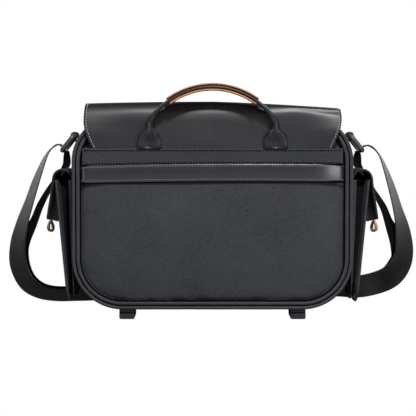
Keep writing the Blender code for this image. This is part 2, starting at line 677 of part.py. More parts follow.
def beside(route, join, end):
    """The stretch of a tail that lies on the main webbing, from where it joins to its slider."""
    step = 1 if end > join else -1
    stretch = []
    for i in range(join, end + step, step):
        place, way = Vector(route[i][0]), Vector(route[i][1]).normalized()
        along = (Vector(route[i + 1][0]) - Vector(route[i - 1][0])).normalized()
        apart = LAYERS + TAIL_SLACK * max(0.0, 1 - abs(i - join) / 5)
        stretch.append((place + along.cross(way).normalized() * apart, way))
    return stretch


def smooth(values, share):
    """Catmull-Rom curve through a list of vectors, share counted in points."""
    last = len(values) - 1
    i = min(int(share), last - 1)
    t = share - i
    p1, p2 = values[i], values[i + 1]
    p0 = values[i - 1] if i else 2 * p1 - p2
    p3 = values[i + 2] if i + 2 <= last else 2 * p2 - p1
    return (2 * p1 + (p2 - p0) * t + (2 * p0 - 5 * p1 + 4 * p2 - p3) * t * t
            + (3 * p1 - p0 - 3 * p2 + p3) * t ** 3) / 2


def ribbon(name, route, pivot):
    places = [Vector(place) for place, way in route]
    ways = [Vector(way).normalized() for place, way in route]
    count = (len(route) - 1) * STRAP_STEPS
    line = [smooth(places, k / STRAP_STEPS) for k in range(count + 1)]
    rings = []
    for k, middle in enumerate(line):
        along = (line[min(k + 1, count)] - line[max(k - 1, 0)]).normalized()
        far = smooth(ways, k / STRAP_STEPS)
        far = (far - along * far.dot(along)).normalized() * STRAP_WIDTH / 2
        out = along.cross(far).normalized() * STRAP_THICKNESS / 2
        rings.append([middle + far + out, middle + far - out, middle - far - out, middle - far + out])
    print(name, "length", round(sum((b - a).length for a, b in zip(line, line[1:])), 4))
    return loft(name, rings, WEBBING, pivot)


def build_strap(root):
    ribbon("strap_main", STRAP_MAIN, root)
    tail = list(TAIL_LEFT_TOP) + beside(STRAP_MAIN, TAIL_LEFT_JOINS, TAIL_LEFT_ENDS)
    ribbon("strap_tail_left", tail, root)
    tail = list(TAIL_RIGHT_TOP) + beside(STRAP_MAIN, TAIL_RIGHT_JOINS, TAIL_RIGHT_ENDS)
    ribbon("strap_tail_right", tail, root)
    for side, end in (("left", TAIL_LEFT_ENDS), ("right", TAIL_RIGHT_ENDS)):
        middle = Vector(STRAP_MAIN[end][0]) + Vector((0, LAYERS / 2, 0))
        slide = Pivot(f"slider_{side}_slide", middle, root)
        deep = (LAYERS + STRAP_THICKNESS) / 2 + GAP
        tall = STRAP_WIDTH / 2 + GAP
        points = []
        for x in (middle.x - SLIDER_LENGTH / 2, middle.x + SLIDER_LENGTH / 2):
            for grow in (0.0, SLIDER_WALL):
                for dy, dz in ((-1, -1), (1, -1), (1, 1), (-1, 1)):
                    points.append((x, middle.y + dy * (deep + grow), middle.z + dz * (tall + grow)))
        faces = []
        for i in range(4):
            j = (i + 1) % 4
            faces.append([i, j, 4 + j, 4 + i])
            faces.append([8 + i, 12 + i, 12 + j, 8 + j])
            faces.append([i, 8 + i, 8 + j, j])
            faces.append([4 + i, 4 + j, 12 + j, 12 + i])
        solid(f"slider_{side}", points, faces, GUNMETAL, slide)


def build_loops(root):
    """Four webbing loops under the base, flattened to an oval, each with its bore along X."""
    tall = GROUND_LIFT - GAP + SIDE_INSET
    radius = (tall - LOOP_SHEET) / 2
    straight = LOOP_LENGTH - tall
    for row, start in (("rear", LOOP_SETBACK), ("front", BODY_DEPTH - LOOP_SETBACK - LOOP_LENGTH)):
        first = start + tall / 2
        turn = arc(first, tall / 2, radius, 270, 90, 8)
        path = turn + arc(first + straight, tall / 2, radius, 90, -90, 8)
        for side, sign in (("left", -1), ("right", 1)):
            x = sign * LOOP_X
            rings = []
            for edge in (x - LOOP_WIDTH / 2, x + LOOP_WIDTH / 2):
                for grow in (LOOP_SHEET / 2, -LOOP_SHEET / 2):
                    scale = (radius + grow) / radius
                    rings.append([(edge, c + (y - c) * scale, tall / 2 + (z - tall / 2) * scale)
                                  for y, z in path
                                  for c in (first if y <= first + straight / 2 else first + straight,)])
            count = len(path)
            points = [p for ring in rings for p in ring]
            faces = []
            for i in range(count):
                j = (i + 1) % count
                for a, b in ((0, 1), (1, 3), (3, 2), (2, 0)):
                    faces.append([a * count + i, a * count + j, b * count + j, b * count + i])
            solid(f"lash_loop_{row}_{side}", points, faces, SMOOTH_LEATHER, root)


CORD_NAMES = ("strap_main", "strap_tail_left", "strap_tail_right", "slider_left", "slider_right")


def centre_on_origin(root):
    """Move the whole bag so that the box of all but the strap stands on the origin."""
    bpy.context.view_layer.update()
    graph = bpy.context.evaluated_depsgraph_get()
    ys = []
    for item in bpy.data.objects:
        if item.type in {"MESH", "CURVE"} and item.name not in CORD_NAMES:
            shape = item.evaluated_get(graph)
            mesh = shape.to_mesh()
            ys += [(item.matrix_world @ v.co).y for v in mesh.vertices]
            shape.to_mesh_clear()
    root.empty.location.y = -(min(ys) + max(ys)) / 2
    bpy.context.view_layer.update()
    for item in bpy.data.objects:
        if item.type == "EMPTY":
            print(item.name, [round(c, 5) for c in item.matrix_world.translation])


def main():
    clear_scene()
    root = Pivot("bag", (0, 0, 0))
    build_body(root)
    build_insert(root)
    build_flap(root)
    build_handle(root)
    for side, sign in (("left", -1), ("right", 1)):
        build_pocket(side, sign, root)
        build_side_flap(side, sign, root)
        build_ring(side, sign, root)
    build_strap(root)
    build_loops(root)
    centre_on_origin(root)


main()
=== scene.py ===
"""Looks of a camera messenger bag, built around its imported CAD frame.

Metres, +Z up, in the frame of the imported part. The worn back faces -Y.
"""

import json
import logging
import math
from collections.abc import Callable, Iterable, Sequence
from dataclasses import dataclass, field
from enum import Enum
from typing import ClassVar

import bmesh
import bpy
from mathutils import Matrix, Vector, noise

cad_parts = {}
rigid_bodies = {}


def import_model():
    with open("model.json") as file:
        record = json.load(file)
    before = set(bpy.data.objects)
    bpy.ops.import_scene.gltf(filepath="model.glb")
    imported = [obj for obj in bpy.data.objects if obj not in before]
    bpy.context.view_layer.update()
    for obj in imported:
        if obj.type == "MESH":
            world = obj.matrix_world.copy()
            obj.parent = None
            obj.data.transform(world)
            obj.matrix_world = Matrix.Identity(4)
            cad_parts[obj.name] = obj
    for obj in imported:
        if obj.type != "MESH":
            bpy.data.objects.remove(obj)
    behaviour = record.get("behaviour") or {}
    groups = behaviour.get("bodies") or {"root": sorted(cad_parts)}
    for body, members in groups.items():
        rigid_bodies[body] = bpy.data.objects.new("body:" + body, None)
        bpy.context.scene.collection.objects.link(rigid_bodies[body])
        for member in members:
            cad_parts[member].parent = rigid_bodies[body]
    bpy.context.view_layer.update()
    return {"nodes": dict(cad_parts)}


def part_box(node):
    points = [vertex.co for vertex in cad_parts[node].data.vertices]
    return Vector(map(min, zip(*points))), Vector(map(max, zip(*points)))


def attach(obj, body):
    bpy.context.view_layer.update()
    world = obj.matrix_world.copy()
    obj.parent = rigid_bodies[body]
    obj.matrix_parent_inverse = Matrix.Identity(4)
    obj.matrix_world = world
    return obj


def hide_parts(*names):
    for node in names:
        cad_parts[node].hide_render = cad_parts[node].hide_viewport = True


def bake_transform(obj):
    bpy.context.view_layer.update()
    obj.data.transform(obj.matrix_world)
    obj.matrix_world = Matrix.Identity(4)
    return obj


for leftover in list(bpy.data.objects):
    bpy.data.objects.remove(leftover, do_unlink=True)
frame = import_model()
LOG = logging.getLogger("camera_bag")

Path2 = list[tuple[float, float]]
Pin = tuple[bpy.types.Node, str]
Rows = list[list[Vector]]
Triple = tuple[float, float, float]
Values = dict[str | int, object]


class Slot(Enum):
    """Material slots of the record."""

    TWILL = "twill"
    LEATHER = "black_leather"
    TAN = "tan_leather"
    WEBBING = "webbing"
    PADDING = "padding"
    METAL = "gunmetal"


class Side(Enum):
    """Left and right halves of the bag, with the sign of their X."""

    LEFT = -1
    RIGHT = 1

    @property
    def word(self) -> str:
        """The side's name as CAD nodes spell it."""
        return self.name.lower()


# Finishes


class Tree:
    """A short way to write a node tree."""

    def __init__(self, tree: bpy.types.NodeTree) -> None:
        """Empty a tree, to write it anew."""
        self.tree = tree
        tree.nodes.clear()

    @staticmethod
    def fill(node: bpy.types.Node, values: Values) -> None:
        """Set constants on a node's inputs, by their names or numbers."""
        for key, value in values.items():
            node.inputs[key].default_value = value

    def add(self, kind: str, values: Values | None = None, **settings: object) -> bpy.types.Node:
        """Add one node.

        Args:
            kind: the node's type name.
            values: constants for its inputs.
            **settings: attributes of the node.

        Returns:
            The new node.
        """
        node = self.tree.nodes.new(kind)
        for key, value in settings.items():
            setattr(node, key, value)
        self.fill(node, values or {})
        return node

    def wire(self, *links: tuple[bpy.types.Node, str, bpy.types.Node, str | int]) -> None:
        """Link sockets: for each link a node and its output, then a node and its input."""
        for source, out, target, into in links:
            self.tree.links.new(source.outputs[out], target.inputs[into])


class Graph(Tree):
    """The shader nodes of a new material."""

    def __init__(self, name: str) -> None:
        """Start a material with a Principled shader.

        Args:
            name: the material's name.
        """
        self.material = bpy.data.materials.new(name)
        self.material.use_nodes = True
        super().__init__(self.material.node_tree)
        self.output = self.add("ShaderNodeOutputMaterial")
        self.shader = self.add("ShaderNodeBsdfPrincipled")
        self.wire((self.shader, "BSDF", self.output, "Surface"))

    def join(self, operation: str, *pins: Pin, clamp: bool = False) -> Pin:
        """Join values by arithmetic.

        Args:
            operation: the Math node's operation.
            *pins: the values, in the order of its inputs.
            clamp: whether the result stays between 0 and 1.

        Returns:
            The result.
        """
        node = self.add("ShaderNodeMath", operation=operation, use_clamp=clamp)
        self.wire(*((*pin, node, place) for place, pin in enumerate(pins)))
        return node, "Value"

    def ramp(self, source: Pin, low: float, high: float, span: tuple[float, float] = (0.0, 1.0)) -> Pin:
        """Map a value from one range to another.

        Args:
            source: the value.
            low: result at the span's start.
            high: result at its end.
            span: the range it comes from.

        Returns:
            The result.
        """
        ends = {"From Min": span[0], "From Max": span[1], "To Min": low, "To Max": high}
        node = self.add("ShaderNodeMapRange", ends)
        self.wire((*source, node, "Value"))
        return node, "Result"

    def noise(self, coords: Pin, scale: float, detail: float = 2.0) -> Pin:
        """Add a noise texture.

        Args:
            coords: its coordinates.
            scale: the noise's scale, per metre.
            detail: octaves.

        Returns:
            The noise from 0 to 1.
        """
        node = self.add("ShaderNodeTexNoise", {"Scale": scale, "Detail": detail})
        self.wire((*coords, node, "Vector"))
        return node, "Fac"

    def wave(self, coords: Pin, direction: str, step: float, values: Values) -> Pin:
        """Add a texture of even bands.

        Args:
            coords: its coordinates.
            direction: the axis that the bands follow each other along.
            step: distance from one band to the next.
            values: other inputs of the texture.

        Returns:
            The wave from 0 to 1.
        """
        inputs = {**values, "Scale": math.tau / (20.0 * step)}
        node = self.add("ShaderNodeTexWave", inputs, wave_type="BANDS", bands_direction=direction)
        self.wire((*coords, node, "Vector"))
        return node, "Fac"

    def tint(self, factor: Pin, dark: Triple, light: Triple) -> None:
        """Blend the base colour between two colours.

        Args:
            factor: the share of the light colour.
            dark: linear colour at 0.
            light: linear colour at 1.
        """
        colours = {"A": (*dark, 1.0), "B": (*light, 1.0)}
        mix = self.add("ShaderNodeMix", colours, data_type="RGBA")
        self.wire((*factor, mix, "Factor"), (mix, "Result", self.shader, "Base Color"))

    def bump(self, height: Pin, strength: float, distance: float) -> None:
        """Roughen the surface by a height, with its strength and its metres at 1."""
        node = self.add("ShaderNodeBump", {"Strength": strength, "Distance": distance})
        self.wire((*height, node, "Height"), (node, "Normal", self.shader, "Normal"))


@dataclass(frozen=True)
class Finish:
    """A surface finish. Each kind builds its own material once.

    Attributes:
        name: the material's name.
        slot: the record's slot that it stands for; not used.
        dark: linear colour in the hollows.
        light: linear colour on the crests.
        roughness: Principled roughness.
        shine: Principled specular level.
        grain: scale of the unevenness in its colour, per metre.
    """

    name: str
    slot: Slot
    dark: Triple
    light: Triple
    roughness: float
    shine: float = 0.5
    grain: ClassVar[float] = 90.0

    def material(self) -> bpy.types.Material:
        """Give the finish's material.

        Returns:
            The material, built on the first call.
        """
        found = bpy.data.materials.get(self.name)
        if found:
            return found
        graph = Graph(self.name)
        graph.fill(graph.shader, {"Roughness": self.roughness, "Specular IOR Level": self.shine})
        self.dress(graph)
        return graph.material

    def dress(self, graph: Graph) -> None:
        """Write the finish's own nodes."""
        coords = graph.add("ShaderNodeTexCoord"), "Object"
        graph.tint(graph.noise(coords, self.grain), self.dark, self.light)


@dataclass(frozen=True)
class TwillFinish(Finish):
    """Diagonal twill weave, on the object's own coordinates.

    Attributes:
        rib: distance from one diagonal rib to the next, along X plus Y plus Z.
        yarns: how fine the two sets of threads are along each axis, per metre.
    """

    rib: float = 0.0013
    grain: ClassVar[float] = 13.0
    yarns: ClassVar[tuple[Triple, Triple]] = ((260.0, 260.0, 1500.0), (1500.0, 1500.0, 330.0))

    def dress(self, graph: Graph) -> None:
        """Write diagonal ribs broken by threads, with their hollows painted darker as shade, and a faint
        broad shade painted at random.

        Args:
            graph: the material being written.
        """
        coords = graph.add("ShaderNodeTexCoord"), "Object"
        rough = {"Distortion": 2.0, "Detail": 2.0, "Detail Scale": 3.0}
        ribs = graph.wave(coords, "DIAGONAL", self.rib, rough)
        yarns = []
        for stretch in self.yarns:
            turned = graph.add("ShaderNodeMapping", {"Scale": stretch})
            graph.wire((*coords, turned, "Vector"))
            yarns.append(graph.noise((turned, "Vector"), 1.0, 1.0))
        threads = graph.join("ADD", *yarns)
        weave = graph.join("MULTIPLY", ribs, threads)
        grain = graph.ramp(threads, 0.0, 0.50, (0.65, 1.35))
        shade = graph.ramp(graph.noise(coords, self.grain, 5.0), -0.45, 0.55)
        # The colour is darker where the weave is low, painted shade in its hollows; the broad noise is
        # painted shade at random places; the yarn grain is random tone.
        mixed = graph.join("ADD", graph.join("ADD", grain, shade), weave, clamp=True)
        graph.tint(mixed, self.dark, self.light)
        graph.bump(weave, 0.3, 0.0003)
        graph.fill(graph.shader, {"Sheen Weight": 0.06, "Sheen Roughness": 0.5})


@dataclass(frozen=True)
class LeatherFinish(Finish):
    """Smooth finished leather with a fine grain.

    Attributes:
        coat: weight of the clear top coat.
        pebble: fineness of the raised grain, per metre.
    """

    coat: float = 0.1
    grain: ClassVar[float] = 26.0
    pebble: ClassVar[float] = 1500.0

    def dress(self, graph: Graph) -> None:
        """Write a fine pebble grain and an uneven polish.

        Args:
            graph: the material being written.
        """
        coords = graph.add("ShaderNodeTexCoord"), "Object"
        pebble = graph.add("ShaderNodeTexVoronoi", {"Scale": self.pebble}, feature="SMOOTH_F1")
        graph.wire((*coords, pebble, "Vector"))
        broad = graph.noise(coords, self.grain, 3.0)
        graph.tint(broad, self.dark, self.light)
        polish = graph.ramp(broad, self.roughness - 0.06, self.roughness + 0.06)
        graph.wire((*polish, graph.shader, "Roughness"))
        graph.bump((pebble, "Distance"), 0.12, 0.0002)
        graph.fill(graph.shader, {"Coat Weight": self.coat, "Coat Roughness": 0.25})


@dataclass(frozen=True)
class WebbingFinish(Finish):
    """Ribbed webbing, on a UV map in metres: U across and V along.

    Attributes:
        rib: distance between two lengthwise ribs.
        pick: distance between two crosswise threads.
        sheen: how much its fibres light up when seen aslant.
    """

    rib: float = 0.0020
    pick: float = 0.0011
    sheen: float = 0.20

    def dress(self, graph: Graph) -> None:
        """Write lengthwise ribs crossed by threads, the ribs' hollows painted darker as shade.

        Args:
            graph: the material being written.
        """
        coords = graph.add("ShaderNodeTexCoord"), "UV"
        ribs = graph.wave(coords, "X", self.rib, {"Distortion": 0.4})
        picks = graph.wave(coords, "Y", self.pick, {"Distortion": 0.4})
        weave = graph.add("ShaderNodeMath", {1: 0.45}, operation="MULTIPLY_ADD")
        graph.wire((*picks, weave, 0), (*ribs, weave, 2))
        # The colour follows the ribs, darker in their hollows: painted shade.
        graph.tint(ribs, self.dark, self.light)
        graph.bump((weave, "Value"), 0.6, 0.0004)
        graph.fill(graph.shader, {"Sheen Weight": self.sheen})


@dataclass(frozen=True)
class MetalFinish(Finish):
    """Dark plated metal with faint wear."""

    grain: ClassVar[float] = 240.0

    def dress(self, graph: Graph) -> None:
        """Write a metallic base with uneven polish.

        Args:
            graph: the material being written.
        """
        coords = graph.add("ShaderNodeTexCoord"), "Object"
        wear = graph.noise(coords, self.grain, 4.0)
        graph.tint(wear, self.dark, self.light)
        polish = graph.ramp(wear, self.roughness - 0.08, self.roughness + 0.1)
        graph.wire((*polish, graph.shader, "Roughness"))
        graph.fill(graph.shader, {"Metallic": 1.0})


TWILL = TwillFinish(
    "twill_cloth", Slot.TWILL, (0.0170, 0.0180, 0.0210), (0.0610, 0.0638, 0.0725), 0.85, 0.10
)
ROLL_TWILL = TwillFinish(
    "roll_cloth", Slot.TWILL, (0.0180, 0.0190, 0.0222), (0.0680, 0.0711, 0.0806), 0.8, 0.15
)
# A darker copy of the twill: painted shade, for the bellows' valley and the ear under the pocket flap.
SHADE_TWILL = TwillFinish(
    "bellows_cloth", Slot.TWILL, (0.0040, 0.0042, 0.0050), (0.0100, 0.0106, 0.0122), 0.9, 0.05
)
LEATHER = LeatherFinish(
    "flap_leather", Slot.LEATHER, (0.0145, 0.0152, 0.0178), (0.0260, 0.0272, 0.0316), 0.43, 0.50, 0.03
)
# A darker, less shiny copy of the black leather: painted shade, for the pocket flaps and the pull loops'
# lining.
SHADE_LEATHER = LeatherFinish(
    "pocket_leather", Slot.LEATHER, (0.0060, 0.0063, 0.0073), (0.0115, 0.0120, 0.0139), 0.48, 0.25, 0.0
)
GLOSSY = LeatherFinish(
    "band_leather", Slot.LEATHER, (0.0150, 0.0157, 0.0182), (0.0250, 0.0261, 0.0300), 0.30, 0.80, 0.25
)
TAN = LeatherFinish("tan_leather", Slot.TAN, (0.66, 0.23, 0.082), (0.84, 0.32, 0.128), 0.5, 0.3, 0.03)
TAN_UNDER = LeatherFinish("tan_under", Slot.TAN, (0.60, 0.22, 0.085), (0.74, 0.28, 0.118), 0.6, 0.3, 0.0)
WEBBING = WebbingFinish(
    "strap_webbing", Slot.WEBBING, (0.0062, 0.0063, 0.0068), (0.0380, 0.0386, 0.0402), 0.6, 0.12
)
# A darker copy of the webbing without sheen: painted shade, for the tails that face the bag's sides.
SHADE_WEBBING = WebbingFinish(
    "tail_webbing", Slot.WEBBING, (0.0030, 0.0031, 0.0034), (0.0180, 0.0184, 0.0194), 0.7, 0.0, sheen=0.0
)
LINING = Finish("lining", Slot.PADDING, (0.09, 0.09, 0.098), (0.15, 0.15, 0.158), 0.95, 0.2)
METAL = MetalFinish("gunmetal", Slot.METAL, (0.020, 0.020, 0.022), (0.060, 0.060, 0.065), 0.40)
THREAD = Finish("thread", Slot.LEATHER, (0.12, 0.12, 0.126), (0.24, 0.24, 0.25), 0.4)
# A lighter copy of the thread: painted glints, for the stitches along the flap's rear edges.
GLINT_THREAD = Finish("light_thread", Slot.LEATHER, (0.42, 0.42, 0.435), (0.66, 0.66, 0.68), 0.35)
# Near-black, almost unshining cords and beads: painted shade in the grooves beside the rolls, under the
# band's edges and in stitch holes.
SEAM_SHADE = Finish("seam_thread", Slot.LEATHER, (0.0016, 0.0016, 0.0020), (0.004, 0.004, 0.0048), 0.8, 0.02)


# Carriers


@dataclass(frozen=True)
class Carrier:
    """What a finished piece rides on.

    Attributes:
        body: a CAD body.
    """

    body: str = "bag"

    def carry(self, piece: bpy.types.Object) -> None:
        """Make a piece move with the body."""
        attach(piece, self.body)


@dataclass(frozen=True)
class Bend(Carrier):
    """Soft material between one body and the next, which is only baked in place: nothing bends it.

    Attributes:
        onto: the body at the far end; not used.
        start: last point that follows the first body; not used.
        end: first point that follows the second; not used.
    """

    onto: str = ""
    start: Triple = (0.0, 0.0, 0.0)
    end: Triple = (0.0, 0.0, 1.0)

    def carry(self, piece: bpy.types.Object) -> None:
        """Bake a piece's place into its mesh; it rides on no body and does not bend."""
        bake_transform(piece)


BAG = Carrier()


# Meshes


def new_object(name: str, points: Iterable[Vector], edges: list, faces: list) -> bpy.types.Object:
    """Make a linked mesh object at the origin.

    Args:
        name: the object's name.
        points: its vertices.
        edges: its loose edges.
        faces: its faces.

    Returns:
        The new object.
    """
    mesh = bpy.data.meshes.new(name)
    mesh.from_pydata([tuple(p) for p in points], edges, faces)
    item = bpy.data.objects.new(name, mesh)
    bpy.context.collection.objects.link(item)
    return item


def face_outward(item: bpy.types.Object) -> None:
    """Turn the faces of a closed mesh outward and shade it smooth.

    Args:
        item: a mesh object.
    """
    work = bmesh.new()
    work.from_mesh(item.data)
    bmesh.ops.recalc_face_normals(work, faces=work.faces)
    work.to_mesh(item.data)
    work.free()
    item.data.shade_smooth()


def bake(item: bpy.types.Object) -> bpy.types.Object:
    """Turn an object's modifiers into its mesh.

    Args:
        item: an object with modifiers.

    Returns:
        The same object, without modifiers.
    """
    graph = bpy.context.evaluated_depsgraph_get()
    mesh = bpy.data.meshes.new_from_object(item.evaluated_get(graph))
    item.modifiers.clear()
    item.data = mesh
    mesh.name = item.name
    return item


def soften(item: bpy.types.Object, width: float, segments: int, angle: float) -> None:
    """Round an object's sharp edges by a modifier.

    Args:
        item: the object.
        width: how far the rounding reaches.
        segments: its segments.
        angle: the least angle of a sharp edge, in degrees.
    """
    soft = item.modifiers.new("soft", "BEVEL")
    soft.width = width
    soft.segments = segments
    soft.limit_method = "ANGLE"
    soft.angle_limit = math.radians(angle)


def give(
    item: bpy.types.Object,
    finish: Finish,
    carrier: Carrier = BAG,
    nodes: Sequence[str] = (),
) -> bpy.types.Object:
    """Finish a piece: its material, carrier and the CAD nodes that it stands for.

    Args:
        item: the piece, in place.
        finish: its surface.
        carrier: what it rides on.
        nodes: CAD nodes that it replaces.

    Returns:
        The piece.
    """
    if not item.data.materials:
        item.data.materials.append(finish.material())
    carrier.carry(item)
    if nodes:
        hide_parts(*nodes)
    LOG.info("made %s: %d faces", item.name, len(item.data.polygons))
    return item


def loft(name: str, rings: Sequence[Sequence[Vector]], closed: bool = False) -> bpy.types.Object:
    """Skin rings of equal count, closing both ends or the whole into a loop.

    Args:
        name: the object's name.
        rings: the sections in order.
        closed: whether the last section joins the first.

    Returns:
        The closed mesh object.
    """
    count = len(rings[0])
    total = len(rings)
    points = [p for ring in rings for p in ring]
    faces: list[list[int]] = []
    for level in range(total if closed else total - 1):
        after = (level + 1) % total
        for i in range(count):
            j = (i + 1) % count
            faces.append([level * count + i, level * count + j, after * count + j, after * count + i])
    if not closed:
        faces.append(list(range(count))[::-1])
        faces.append([(total - 1) * count + i for i in range(count)])
    item = new_object(name, points, [], faces)
    face_outward(item)
    return item


def section(half_a: float, half_b: float, power: float, count: int) -> Path2:
    """A rounded section between an ellipse and a rectangle.

    Args:
        half_a: half its size along the first axis.
        half_b: half its size along the second.
        power: 2 for an ellipse, more for squarer.
        count: its points.

    Returns:
        The points of the section.
    """
    points = []
    for k in range(count):
        turn = math.tau * (k + 0.5) / count
        c, s = math.cos(turn), math.sin(turn)
        a = math.copysign(abs(c) ** (2 / power), c) * half_a
        b = math.copysign(abs(s) ** (2 / power), s) * half_b
        points.append((a, b))
    return points


def add_uv(item: bpy.types.Object, places: Path2) -> None:
    """Give a mesh a UV map from one pair for each vertex.

    Args:
        item: a mesh object.
        places: U and V for each vertex.
    """
    layer = item.data.uv_layers.new(name="UVMap")
    for loop in item.data.loops:
        layer.data[loop.index].uv = places[loop.vertex_index]


def sheet(name: str, rows: Rows, thickness: float, toward: Vector) -> bpy.types.Object:
    """A thin wall with softened edges behind a grid of points.

    Args:
        name: the object's name.
        rows: the grid of its outer face.
        thickness: how far it reaches behind that face.
        toward: roughly where the outer face looks, at the grid's middle.

    Returns:
        The closed mesh object.
    """
    wide = len(rows[0])
    faces = []
    for i in range(len(rows) - 1):
        for j in range(wide - 1):
            a = i * wide + j
            faces.append([a, a + 1, a + 1 + wide, a + wide])
    item = new_object(name, [p for row in rows for p in row], [], faces)
    middle = item.data.polygons[(len(rows) - 1) // 2 * (wide - 1) + (wide - 1) // 2]
    if middle.normal.dot(toward) < 0:
        item.data.flip_normals()
    wall = item.modifiers.new("wall", "SOLIDIFY")
    wall.thickness = thickness
    wall.offset = -1.0
    wall.use_even_offset = True
    soften(item, thickness * 0.32, 2, 50)
    bake(item)
    item.data.shade_smooth()
    return item


def tube(
    name: str, path: Sequence[Vector], radius: Callable[[int], float], closed: bool, sides: int = 12
) -> bpy.types.Object:
    """A round cord along a path.

    Args:
        name: the object's name.
        path: its middle line.
        radius: the radius at each point of the path.
        closed: whether the path is a loop.
        sides: sides of its section.

    Returns:
        The closed mesh object.
    """
    count = len(path)
    across = Vector()
    rings = []
    for i, p in enumerate(path):
        before = path[i - 1] if closed or i else p
        after = path[(i + 1) % count] if closed or i < count - 1 else p
        along = (after - before).normalized()
        if not across.length:
            across = along.orthogonal()
            if abs(along.y) < 0.9:
                across = Vector((0, 1, 0))
        across = (across - along * across.dot(along)).normalized()
        up = along.cross(across)
        r = radius(i)
        rings.append([p + across * a * r + up * b * r for a, b in section(1, 1, 2.0, sides)])
    return loft(name, rings, closed)


def curve_point(values: Sequence[Vector], share: float) -> Vector:
    """A smooth curve through a list of vectors.

    Args:
        values: the vectors it passes.
        share: place along it, counted in list items.

    Returns:
        The vector there.
    """
    last = len(values) - 1
    i = min(int(share), last - 1)
    t = share - i
    p1, p2 = values[i], values[i + 1]
    p0 = values[i - 1] if i else 2 * p1 - p2
    p3 = values[i + 2] if i + 2 <= last else 2 * p2 - p1
    straight = 2 * p1 + (p2 - p0) * t
    bend = (2 * p0 - 5 * p1 + 4 * p2 - p3) * t * t
    return (straight + bend + (3 * p1 - p0 - 3 * p2 + p3) * t ** 3) / 2


def smoothed(points: Sequence[Vector], steps: int) -> list[Vector]:
    """Refine a path by a smooth curve, with some new points for each old one."""
    count = (len(points) - 1) * steps
    return [curve_point(points, k / steps) for k in range(count + 1)]


def ease(value: float) -> float:
    """Smooth step from 0 to 1, level outside that range."""
    t = min(1.0, max(0.0, value))
    return t * t * (3 - 2 * t)


def arc(middle: tuple[float, float], radius: float, first: float, sweep: float, steps: int) -> Path2:
    """Even points of an arc, from a first angle over a sweep, both in degrees."""
    turns = [math.radians(first + sweep * k / steps) for k in range(steps + 1)]
    return [(middle[0] + radius * math.cos(t), middle[1] + radius * math.sin(t)) for t in turns]


def hump(value: float, middle: float, width: float) -> float:
    """A soft hump: 1 at its middle, falling to 0 on both sides."""
    return math.exp(-((value - middle) / width) ** 2)


def directions(line: Sequence[Vector]) -> list[Vector]:
    """The unit way along an open line at each of its points."""
    last = len(line) - 1
    return [(line[min(i + 1, last)] - line[max(i - 1, 0)]).normalized() for i in range(last + 1)]


@dataclass(frozen=True)
class Stitching:
    """A run of thread stitches, laid by geometry nodes.

    Attributes:
        pitch: distance from one stitch to the next.
        length: a stitch's length.
        radius: a stitch's half thickness.
    """

    pitch: float
    length: float
    radius: float

    def group(self) -> bpy.types.NodeTree:
        """Give the node group that turns a line of edges into stitches.

        Returns:
            The geometry node group, built on the first call.
        """
        found = bpy.data.node_groups.get("StitchRun")
        if found:
            return found
        group = bpy.data.node_groups.new("StitchRun", "GeometryNodeTree")
        sockets = {"Geometry": "Geometry", "Pitch": "Float", "Length": "Float", "Radius": "Float"}
        sockets["Thread"] = "Material"
        for label, kind in sockets.items():
            group.interface.new_socket(label, in_out="INPUT", socket_type=f"NodeSocket{kind}")
        group.interface.new_socket("Geometry", in_out="OUTPUT", socket_type="NodeSocketGeometry")
        tree = Tree(group)
        given, result = tree.add("NodeGroupInput"), tree.add("NodeGroupOutput")
        line = tree.add("GeometryNodeMeshToCurve")
        spaced = tree.add("GeometryNodeResampleCurve", mode="LENGTH")
        tangent = tree.add("GeometryNodeInputTangent")
        turn = tree.add("FunctionNodeAlignRotationToVector", axis="X")
        bead = tree.add("GeometryNodeMeshIcoSphere", {"Radius": 1.0, "Subdivisions": 2})
        half = tree.add("ShaderNodeMath", {1: 0.5}, operation="MULTIPLY")
        size = tree.add("ShaderNodeCombineXYZ")
        lay = tree.add("GeometryNodeInstanceOnPoints")
        real = tree.add("GeometryNodeRealizeInstances")
        paint = tree.add("GeometryNodeSetMaterial")
        tree.wire(
            (given, "Geometry", line, "Mesh"),
            (line, "Curve", spaced, "Curve"),
            (given, "Pitch", spaced, "Length"),
            (tangent, "Tangent", turn, "Vector"),
            (given, "Length", half, 0),
            (half, "Value", size, "X"),
            (given, "Radius", size, "Y"),
            (given, "Radius", size, "Z"),
            (spaced, "Curve", lay, "Points"),
            (bead, "Mesh", lay, "Instance"),
            (turn, "Rotation", lay, "Rotation"),
            (size, "Vector", lay, "Scale"),
            (lay, "Instances", real, "Geometry"),
            (real, "Geometry", paint, "Geometry"),
            (given, "Thread", paint, "Material"),
            (paint, "Geometry", result, "Geometry"),
        )
        return group

    def run(
        self,
        name: str,
        lines: Sequence[Sequence[Vector]],
        carrier: Carrier = BAG,
        finish: Finish = THREAD,
    ) -> bpy.types.Object:
        """Lay stitches along lines.

        Args:
            name: the object's name.
            lines: the paths that the thread follows, on the surface.
            carrier: what the stitches ride on.
            finish: the thread's surface.

        Returns:
            The finished stitches.
        """
        points: list[Vector] = []
        edges: list[tuple[int, int]] = []
        for path in lines:
            first = len(points)
            points += path
            edges += [(first + i, first + i + 1) for i in range(len(path) - 1)]
        item = new_object(name, points, edges, [])
        laid = item.modifiers.new("stitches", "NODES")
        laid.node_group = self.group()
        values = {"Pitch": self.pitch, "Length": self.length, "Radius": self.radius}
        values["Thread"] = finish.material()
        for socket in laid.node_group.interface.items_tree:
            if socket.item_type == "SOCKET" and socket.in_out == "INPUT" and socket.name in values:
                laid[socket.identifier] = values[socket.name]
        bake(item)
        item.data.shade_smooth()
        return give(item, finish, carrier)


# The bag


